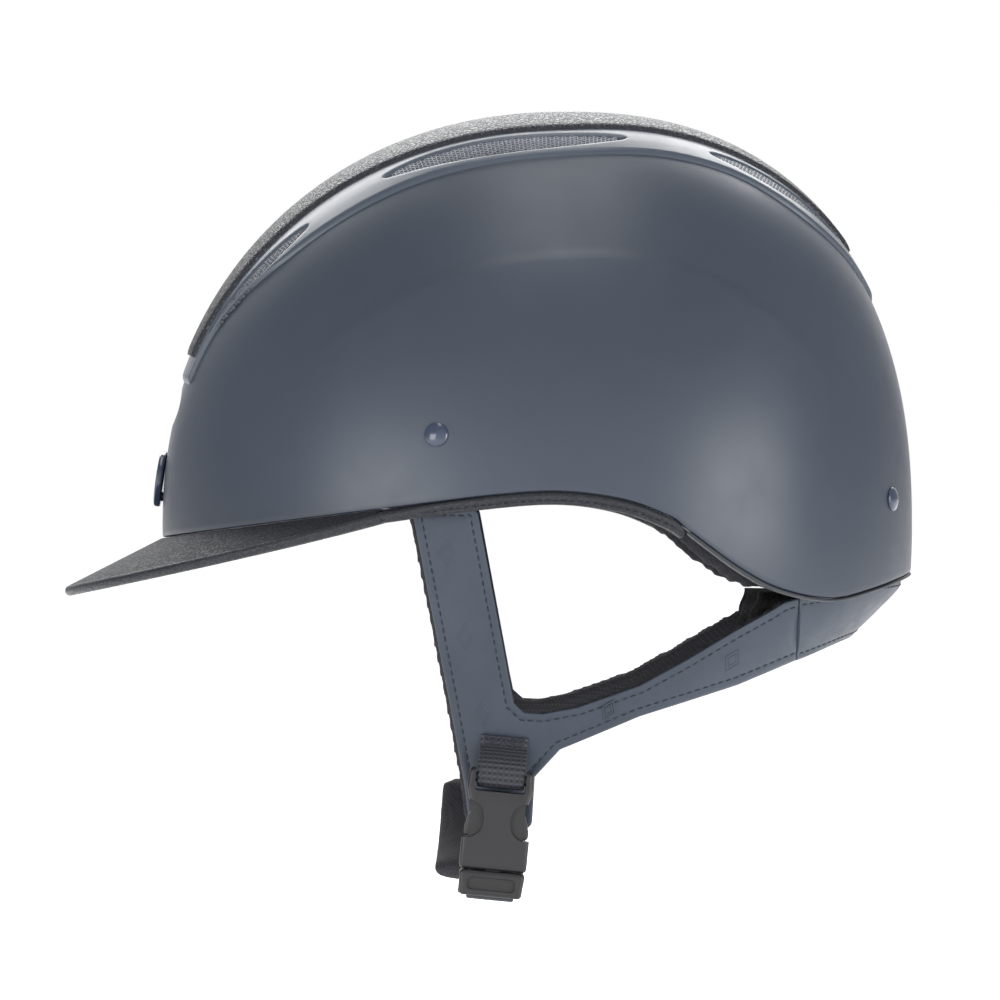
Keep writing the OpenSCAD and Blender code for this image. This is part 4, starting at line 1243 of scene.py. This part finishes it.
def harness_normal(side):
    """The outward direction of one side's strap, as a function of points on it."""
    def f(p):
        y, z = p[:, 1], p[:, 2]
        gy = (harness_x(y + 0.5, z, 0.0) - harness_x(y - 0.5, z, 0.0))
        gz = (harness_x(y, z + 0.5, 0.0) - harness_x(y, z - 0.5, 0.0))
        return stack(side + 0 * y, -gy, -gz)
    return f


def open_line(poly, top):
    """A clipped outline as an open line that starts and ends at the clip."""
    on = np.isclose(poly[:, 0], top, atol=1e-6)
    k = [i for i in range(len(poly)) if on[i] and on[i - 1]]
    return np.roll(poly, -k[0], 0) if k else poly


def lozenge(cy, cz, size, side, turn=0.0):
    """A blind-embossed lozenge: two thin raised frames, one inside the other."""
    obs = []
    for k in (1.0, 0.55):
        a = np.linspace(0, 2 * math.pi, 60, endpoint=False)
        q = 1 / (np.abs(np.cos(a)) / (0.62 * size * k) + np.abs(np.sin(a)) / (size * k))
        ca, sa = q * np.cos(a), q * np.sin(a)
        y = cy + ca * math.cos(turn) - sa * math.sin(turn)
        z = cz + ca * math.sin(turn) + sa * math.cos(turn)
        mid = stack(side * harness_x(y, z, 0.0), y, z)
        n = unit(harness_normal(side)(mid))
        mid = mid + n * (0.35 - ripple(y, z))[:, None]
        t = unit(np.roll(mid, -1, 0) - np.roll(mid, 1, 0))
        w = unit(np.cross(t, n))
        b = np.linspace(0, 2 * math.pi, 6, endpoint=False)
        sec = [mid + w * (0.28 * math.cos(q2)) + n * (0.13 * math.sin(q2)) for q2 in b]
        obs.append(loft("emboss", np.stack(sec, 1), M["calf"], ring=True, sharp=60))
    return obs


EMBOSS = [(-30.5, -4, 4.6, 0.0), (-24.5, -32, 4.6, 0.0), (-18.5, -58, 4.6, 0.0), (24, -57, 3.6, -0.4),
          (66, -40.5, 4.2, -0.5)]
LINING = [(y - 1.35, z) for y, z in YOKE]
LINING_MID, LINING_IN, LINING_OUT = 3.3, 2.3, 1.15
for side, tag in ((1, "left"), (-1, "right")):
    loops = (0, 0.1, 0.3, 0.6, 0.9, 1.7, 2.2, 2.7, 3.2, 3.9)
    ob = sheet_piece(f"harness_{tag}_leather", YOKE, 3.0, loops, leather_surf(side), M["calf"], 2.6, CUT, 55)
    line = open_line(clip_y(rounded(inset(YOKE, 3.0), 3.0 - SEW), CUT), CUT)[1:-1]
    path = stack(side * harness_x(line[:, 0], line[:, 1], 0.28), line[:, 0], line[:, 1])
    st = stitches("sew", path, harness_normal(side))
    marks = [q for e in EMBOSS for q in lozenge(e[0], e[1], e[2], side, e[3])]
    ob = join(f"harness_{tag}_leather", [ob, st] + marks)
    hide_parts(f"harness_{tag}")
    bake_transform(ob)

    def lining_surf(y, z, d, side=side):
        fat = round_edge(d, 2.4) * (1 - 0.22 * np.exp(-((d - 4.2) / 0.7) ** 2))
        return (stack(side * harness_x(y, z, LINING_MID - LINING_OUT * fat), y, z),
                stack(side * harness_x(y, z, LINING_MID + LINING_IN * fat), y, z))

    ob = sheet_piece(f"lining_{tag}_padded", LINING, 3.0, (-0.7, -0.4, 0.1, 0.8, 1.7, 2.6, 3.6), lining_surf,
                     M["pad"], 3.0, CUT - 1.0, 60)
    puff(ob, 1.1, 0.35)
    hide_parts(f"lining_{tag}")
    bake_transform(ob)

NAPE_TOP = [(0, -12.9), (20, -14.3), (35, -18.3), (43, -19.5), (47, -19.6)]
NAPE_FOOT = [(0, -33.5), (15, -35.6), (28.5, -41), (45, -47)]


def nape_grid(v, cols, lift=0.0, drop=0.0, cut_at=CUT):
    """Angles and heights over the nape band, ending where the straps begin."""
    w = np.linspace(-1, 1, cols)[None, :]
    v = np.asarray(v)[:, None]
    end = 43.0 + 0 * v
    for _ in range(6):
        z = curve(NAPE_FOOT, end) - drop + v * (curve(NAPE_TOP, end) + lift - curve(NAPE_FOOT, end) + drop)
        p = harness_at(180 + end, z, 0.8)
        end = end + (p[..., 1] - cut_at) * 0.55
    a = end * w
    low, high = curve(NAPE_FOOT, np.abs(a)) - drop, curve(NAPE_TOP, np.abs(a)) + lift
    z = low + v * (high - low)
    return a, z, np.minimum(z - low, high - z)


near_edge = np.array([0, 0.006, 0.02, 0.035, 0.06, 0.09, 0.12, 0.15, 0.2])
v = np.concatenate([near_edge, np.linspace(0.26, 0.74, 9), 1 - near_edge[::-1]])
a, z, d = nape_grid(v, 160)
o, i = leather_faces(d)
o += 0.3 * np.sin(np.radians(a * 9)) * np.sin(0.3 * z) * smooth(d, 2, 6) * (1 - smooth(np.abs(a), 24, 34))
top_pts = harness_at(180 + a, z, o)
band_ob = slab("nape_band_leather", top_pts, harness_at(180 + a, z, i), M["calf"], sharp=55)
lines = []
for row_v in (0.115, 0.885):
    a1, z1, _ = nape_grid([row_v], 160)
    seam = harness_at(180 + a1[0], z1[0], 0.28)
    lines.append(stitches("sew", seam, lambda p: (p - (0, CY, 0)) * (1, 1, 0)))
put(join("nape_band_leather", [band_ob] + lines), "helmet", ["nape_band"])
a, z, d = nape_grid(v, 120, -1.2, 0.6, CUT + 0.8)
fat = round_edge(d, 2.2)
lin = slab("nape_lining_padded", harness_at(180 + a, z, LINING_MID - 1.1 * fat),
           harness_at(180 + a, z, LINING_MID + LINING_IN * fat), M["pad"])
put(puff(lin, 1.2, 0.35), "helmet", ["nape_lining"])

# the gathered mesh behind the head
u = np.linspace(0, 1, 40)[:, None]
w = np.linspace(-1, 1, 220)[None, :]
phi_m = 180 - 38 * w + 0 * u
random.seed(4)
draw = random.uniform
waves = sum(draw(0.2, 0.55) * np.sin(draw(18, 60) * w + draw(0, 6) + draw(1, 4) * u) for _ in range(6))
t_m = BAND_IN + 2.0 + 5 * u + waves * (0.35 + 0.65 * np.sin(np.pi * u)) + 0.4 * np.sin(14 * u + 3 * w)
z_m = -17.6 - 17.8 * u + 0.5 * np.sin(9 * w + 2) * u
gusset = slab("nape_mesh_cloth", at_height(phi_m, z_m, t_m - 0.3), at_height(phi_m, z_m, t_m + 0.3),
              M["gusset"])
put(gusset, "helmet", ["nape_mesh"])

# ---------------------------------------------------------------- buckle and chin strap, in the leaning frame
LEAN = math.radians(-5.5)
BUCKLE_X, BUCKLE_Y, BUCKLE_Z = 77.0, -12.0, -75.5
BAR_Z, PLUG_BAR_Z = -4.6, -42.9


def lean(x, p):
    """Points of the leaning frame, whose origin is the top of the buckle at x."""
    p = np.asarray(p, float)
    y, z = p[..., 1], p[..., 2]
    c, s = math.cos(LEAN), math.sin(LEAN)
    return stack(p[..., 0] + x, BUCKLE_Y + y * c - z * s, BUCKLE_Z + y * s + z * c)


def set_lean(ob, x):
    """Moves a piece built at the origin into the leaning frame at x."""
    co = np.empty(len(ob.data.vertices) * 3)
    ob.data.vertices.foreach_get("co", co)
    co = lean(x, co.reshape(-1, 3) / MM) * MM
    ob.data.vertices.foreach_set("co", co.ravel())
    ob.data.update()
    return ob


def chaikin(poly, n=2):
    """Cuts the corners of a closed outline n times."""
    p = np.asarray(poly, float)
    for _ in range(n):
        q = np.roll(p, -1, 0)
        p = np.stack([0.78 * p + 0.22 * q, 0.22 * p + 0.78 * q], 1).reshape(-1, 2)
    return p


def prism(name, poly, x0, x1, mat=None):
    """A flat outline in the Y-Z plane, given thickness along X."""
    p = np.asarray(poly, float)
    n = len(p)
    pts = np.concatenate([stack(x0, p[:, 0], p[:, 1]), stack(x1, p[:, 0], p[:, 1])])
    faces = [tuple(range(n)), tuple(range(2 * n - 1, n - 1, -1))]
    faces += [(i, n + i, n + (i + 1) % n, (i + 1) % n) for i in range(n)]
    return link(name, pts, faces, mat, 40)


def box(name, lo, hi, mat=None):
    corners = [(lo[1], lo[2]), (hi[1], lo[2]), (hi[1], hi[2]), (lo[1], hi[2])]
    return prism(name, corners, lo[0], hi[0], mat)


def moulded_piece(name, outline, radius, half, edge=1.2, step=2.0):
    """A moulded slab with softly rounded faces; half(z) is half its thickness."""
    def surf(y, z, d):
        x = half(z) - edge * (1 - round_edge(d, edge))
        return stack(x, y, z), stack(-x, y, z)
    loops = (0, 0.06, 0.2, 0.45, 0.8, edge)
    return sheet_piece(name, outline, radius, loops, surf, M["plastic"], step, sharp=50, fine=0.8)


def cylinder_y(name, r, half, z, mat, n=28):
    """A round bar along Y."""
    a = np.linspace(0, 2 * np.pi, n, endpoint=False)
    sec = [stack(r * np.cos(a), y, z + r * np.sin(a)) for y in (-half, half)]
    return loft(name, sec, mat, sharp=50)


SOCKET = [(-10.6, -1.4), (-11.2, -8), (-9.9, -12.5), (-9.9, -16), (-11.4, -23.5), (-11.4, -35.5), (11.4, -35.5),
          (11.4, -23.5), (9.9, -16), (9.9, -12.5), (11.2, -8), (10.6, -1.4)]
half_x = lambda z: np.interp(z, [-35.5, -34, -30, -12, -8, -1.4], [3.9, 4.5, 4.8, 4.8, 4.5, 3.5])
sock = moulded_piece("buckle_socket_moulded", SOCKET, 1.5, half_x)
SLOT = [(-8.6, -9.0), (8.6, -9.0), (8.6, 8), (-8.6, 8)]
slot_cut = prism("slot", rounded(inset(SLOT, 1.2), 1.2, 2.0), -8, 8)
mouth = box("mouth", (-2.8, -9.2, -37), (2.8, 9.2, -12))
WINDOW = [(14.5, -12.0), (8.2, -12.3), (5.3, -14.2), (4.3, -18.2), (5.0, -22.2), (7.6, -24.6), (11, -25.2),
          (14.5, -24.4)]
wins = [prism("window", chaikin(WINDOW) * (s, 1), -8, 8) for s in (-1, 1)]
cut(sock, [slot_cut, mouth] + wins, 40)
bar = cylinder_y("bar", 1.7, 9.2, BAR_Z, M["plastic"])
sock = set_lean(join("buckle_socket_moulded", [sock, bar]), BUCKLE_X)
put(sock, "socket", ["buckle_socket"])

BASE = [(-11.2, -35.8), (-10.4, -44.4), (10.4, -44.4), (11.2, -35.8)]
plug = moulded_piece("buckle_plug_moulded", BASE, 1.4, lambda z: 4.5 + 0 * z)
back = box("back", (-8, -8.5, -47), (3.1, 8.5, -38.2))
BAR_WINDOW = [(-8.1, -42.4), (8.1, -42.4), (8.1, -38.0), (-8.1, -38.0)]
win = prism("win", rounded(inset(BAR_WINDOW, 1.4), 1.4, 1.0), 2.5, 8)
cut(plug, [back, win], 40)
tongue = box("tongue", (-2.4, -2.4, -36.3), (2.4, 2.4, -28), M["plastic"])
plug_bar = cylinder_y("bar", 1.4, 9.0, PLUG_BAR_Z, M["plastic"])
plug = set_lean(join("buckle_plug_moulded", [plug, plug_bar, tongue]), BUCKLE_X)
put(plug, "plug", ["buckle_plug"])

PRONG = [(8.6, -34), (8.7, -24.2), (10.9, -24.2), (10.95, -21.5), (9.6, -16.8), (7.4, -13.9), (5.3, -13.7),
         (4.3, -16.2), (5.6, -18.2), (6.6, -17.2), (7.0, -20), (5.9, -26), (5.2, -34)]
for s, tag in ((-1, "front"), (1, "rear")):
    line = chaikin(np.array(PRONG) * (s, 1))
    area2 = np.sum(line[:, 0] * np.roll(line[:, 1], -1) - np.roll(line[:, 0], -1) * line[:, 1])
    ob = prism(f"prong_{tag}_moulded", line if area2 > 0 else line[::-1], -2.5, 2.5, M["plastic"])
    bevel(ob, 0.35, 2, 50)
    a = np.linspace(0, 2 * np.pi, 24, endpoint=False)
    hub = prism("hub", np.stack([s * 6.9 + 1.7 * np.cos(a), -34 + 1.7 * np.sin(a)], -1), -2.5, 2.5, M["plastic"])
    ob = set_lean(join(f"prong_{tag}_moulded", [ob, hub]), BUCKLE_X)
    put(ob, f"{tag}_prong", [f"prong_{tag}"])

WEB_W, WEB_T = 16.0, 1.4
ACROSS = lean(0, [[0, 1, 0]])[0] - lean(0, [[0, 0, 0]])[0]


def web(name, path_xz, x, body, node_name):
    """Webbing along a path of (across the head, height) points in the leaning frame."""
    p = np.asarray(path_xz, float)
    q = lean(x, stack(p[:, 0], 0.0, p[:, 1]))
    ob = ribbon(name, q, ACROSS, WEB_W, WEB_T, M["web"])
    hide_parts(node_name)
    if body:
        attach(ob, body)
    return ob


def arc(cx, cz, r, a0, a1, n=16):
    """Points along an arc, its angles in degrees."""
    a = np.radians(np.linspace(a0, a1, n))
    return np.stack([cx + r * np.cos(a), cz + r * np.sin(a)], -1)


def smooth_path(p, n=3):
    """Rounds the corners of an open line n times, keeping its ends."""
    p = np.asarray(p, float)
    for _ in range(n):
        q = 0.75 * p[:-1] + 0.25 * p[1:]
        r = 0.25 * p[:-1] + 0.75 * p[1:]
        p = np.concatenate([p[:1], np.stack([q, r], 1).reshape(-1, 2), p[-1:]])
    return p


def leather_x(zl):
    """Distance of the yoke's outer face from the leaning frame's origin at a local height."""
    w = lean(BUCKLE_X, [[0, 0, zl]])[0]
    return float(harness_x(w[1], w[2], 0.0)) - BUCKLE_X


front_top = (leather_x(9.5) + 1.1, 9.5)
LOOP_R = 2.6
down = smooth_path([(leather_x(5.5) + 1.5, 5.5), (-2.2, 3.2), (1.9, -0.6), (LOOP_R, BAR_Z)])
back_up = smooth_path([(-LOOP_R, BAR_Z), (-4.4, -1.0), (leather_x(2) + 1.0, 3.0)])
loop = np.concatenate([[front_top, (leather_x(6.5) + 1.3, 6.5)], down, arc(0, BAR_Z, LOOP_R, 0, -180)[1:],
                       back_up[1:]])
loop_ob = web("loop_webbing_sewn", loop, BUCKLE_X, None, "loop_webbing")


def bar_tack(side, zl, proud):
    """A zigzag row of short stitches across one side's webbing, at a height, standing proud of the leather."""
    y = np.linspace(-7.2, 7.2, 40)
    zz = zl + 0.5 * np.sign(np.sin(y * 4.3))
    x = side * np.array([leather_x(q) + proud for q in zz])
    p = lean(side * BUCKLE_X, stack(x, y, zz))
    return stitches("tack", p, lambda q: q * 0 + (side * 1.0, 0, 0.25), 1.15, 1.0, 0.24)


put(join("loop_webbing_sewn", [loop_ob] + [bar_tack(1, z, 1.9) for z in (8.6, 6.9)]), "yoke_left")

TURN_R = 2.2
plug_loop = np.concatenate([[(-12, PLUG_BAR_Z + TURN_R), (-1, PLUG_BAR_Z + TURN_R)],
                            arc(0, PLUG_BAR_Z, TURN_R, 90, -90),
                            [(-1, PLUG_BAR_Z - TURN_R), (-12, PLUG_BAR_Z - TURN_R)]])
web("plug_webbing_loop", plug_loop, BUCKLE_X, "plug", "plug_webbing")
STRAP_Z = PLUG_BAR_Z - 2.2
ARC_R = -STRAP_Z
ARC_X = ARC_R - BUCKLE_X
END_X = BUCKLE_X - 12.2
chin = np.concatenate([arc(ARC_X, 0, ARC_R, 187, 270, 60),
                       [(x, -ARC_R) for x in np.linspace(ARC_X, END_X, 80)[1:]]])
chin_ob = web("chin_webbing_strap", chin, 0, None, "chin_webbing")
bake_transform(chin_ob)
TAIL_Z = STRAP_Z + WEB_T + 0.1
tail = [(x, TAIL_Z) for x in np.linspace(-8, END_X, 90)]
tail_ob = web("webbing_tail_end", tail, 0, None, "webbing_tail")
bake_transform(tail_ob)
anchor = smooth_path([(-leather_x(10) - 1.0, 10), (-leather_x(6) - 1.2, 6), (-1.2, 2.0), (0, BAR_Z + 1.0)])
anchor_ob = web("anchor_webbing_sewn", anchor, -BUCKLE_X, None, "anchor_webbing")
put(join("anchor_webbing_sewn", [anchor_ob] + [bar_tack(-1, z, 1.8) for z in (9.0, 7.4)]), "yoke_right")

mid_z = (STRAP_Z + TAIL_Z) / 2
slide = box("strap_slider_moulded", (24, -11, mid_z - 2.8), (36, 11, mid_z + 2.8), M["plastic"])
bevel(slide, 0.8, 3)
cut(slide, [box("c0", (23, -8.4, mid_z - 1.7), (37, 8.4, mid_z + 1.7))]
    + [box("c1", (27.5, -8, mid_z + s * 3.2 - 1.5), (32.5, 8, mid_z + s * 3.2 + 1.5)) for s in (-1, 1)])
put(set_lean(slide, 0), "slider", ["strap_slider"])

a = np.radians(np.linspace(197, 261, 34))
q = np.linspace(0, 2 * math.pi, 28, endpoint=False)
sec = []
for k, ang in enumerate(a):
    f = float(round_edge(min(k, len(a) - 1 - k) * 1.55 + 0.05, 4.0))
    sx = np.sign(np.cos(q)) * np.abs(np.cos(q)) ** 0.45 * 16.4 * (0.86 + 0.14 * f) - 4.0
    sr = np.sign(np.sin(q)) * np.abs(np.sin(q)) ** 0.7 * 3.9 * f + 0.25
    rr = ARC_R + sr
    sec.append(stack(ARC_X + rr * np.cos(ang), sx, rr * np.sin(ang)))
pad = loft("chin_pad_padded", sec, M["pad"], sharp=60)
puff(pad, 2.2, 0.7)
t = np.radians(np.linspace(192, 266, 40))
tunnel = stack(ARC_X + ARC_R * np.cos(t), 0.0, ARC_R * np.sin(t))
cut(pad, [ribbon("tunnel", tunnel, (0, 1, 0), 17.2, 2.0, None, deep=0.0)], 60)
put(set_lean(pad, 0), "chin_strap", ["chin_pad"])

# ---------------------------------------------------------------- camera, light, floor
cam = bpy.data.cameras.new("camera")
cam.lens, cam.sensor_width = 205.2, 36.0
cam_ob = bpy.data.objects.new("camera", cam)
cam_ob.location = (2.0, -0.0128, 0.014)
cam_ob.rotation_euler = (math.radians(90), 0, math.radians(90))
bpy.context.scene.collection.objects.link(cam_ob)
bpy.context.scene.camera = cam_ob


def area(name, loc, size, power, aim=(0, 0, 0.03)):
    l = bpy.data.lights.new(name, "AREA")
    l.shape, l.size, l.size_y, l.energy = "RECTANGLE", size[0], size[1], power
    o = bpy.data.objects.new(name, l)
    o.location = loc
    o.rotation_euler = (Vector(aim) - Vector(loc)).to_track_quat("-Z", "Y").to_euler()
    bpy.context.scene.collection.objects.link(o)


area("key", (0.3, 0.0, 1.9), (0.5, 1.6), 7)
area("right", (1.4, 1.5, -0.02), (1.1, 1.3), 25)
area("left", (1.5, -1.1, -0.02), (0.9, 1.2), 14)
area("back", (-1.15, -0.1, 1.1), (1.9, 0.9), 30)
world = bpy.data.worlds.new("world")
world.use_nodes = True
nt = world.node_tree
sky = node(nt, "SeparateXYZ")
nt.links.new(node(nt, "TexCoord").outputs["Generated"], sky.inputs[0])
round_x = math_node(nt, "ADD", math_node(nt, "MULTIPLY", sky.outputs[0], 0.5), 0.5)
low = math_node(nt, "MULTIPLY", sky.outputs[2], -0.25)
glow = ramp(nt, math_node(nt, "ADD", round_x, low),
            [(0.0, 1.0), (0.012, 1.0), (0.035, 0.36), (0.66, 0.38), (0.97, 1.1)])
nt.links.new(glow, nt.nodes["Background"].inputs[0])
bpy.context.scene.world = world
bpy.context.scene.view_settings.view_transform = "Standard"

r = np.array([0.0, 400, 900, 1600, 2600, 4200, 9000, 30000])
a = np.linspace(0, 2 * np.pi, 64, endpoint=False)
floor_pts = stack(r[:, None] * np.cos(a), r[:, None] * np.sin(a), -190.0)
fm, nt, b = mat_base("floor", (0.93, 0.93, 0.93), 0.6, Emission_Color=(1, 1, 1, 1), Emission_Strength=0.55)
nt.links.new(ramp(nt, noise_tex(nt, coords(nt), 3, 2), [(0.3, 0.92), (0.7, 0.94)]), b.inputs["Base Color"])
floor = link("floor", floor_pts.reshape(-1, 3), wrap_faces(len(r), 64, False, True), fm)
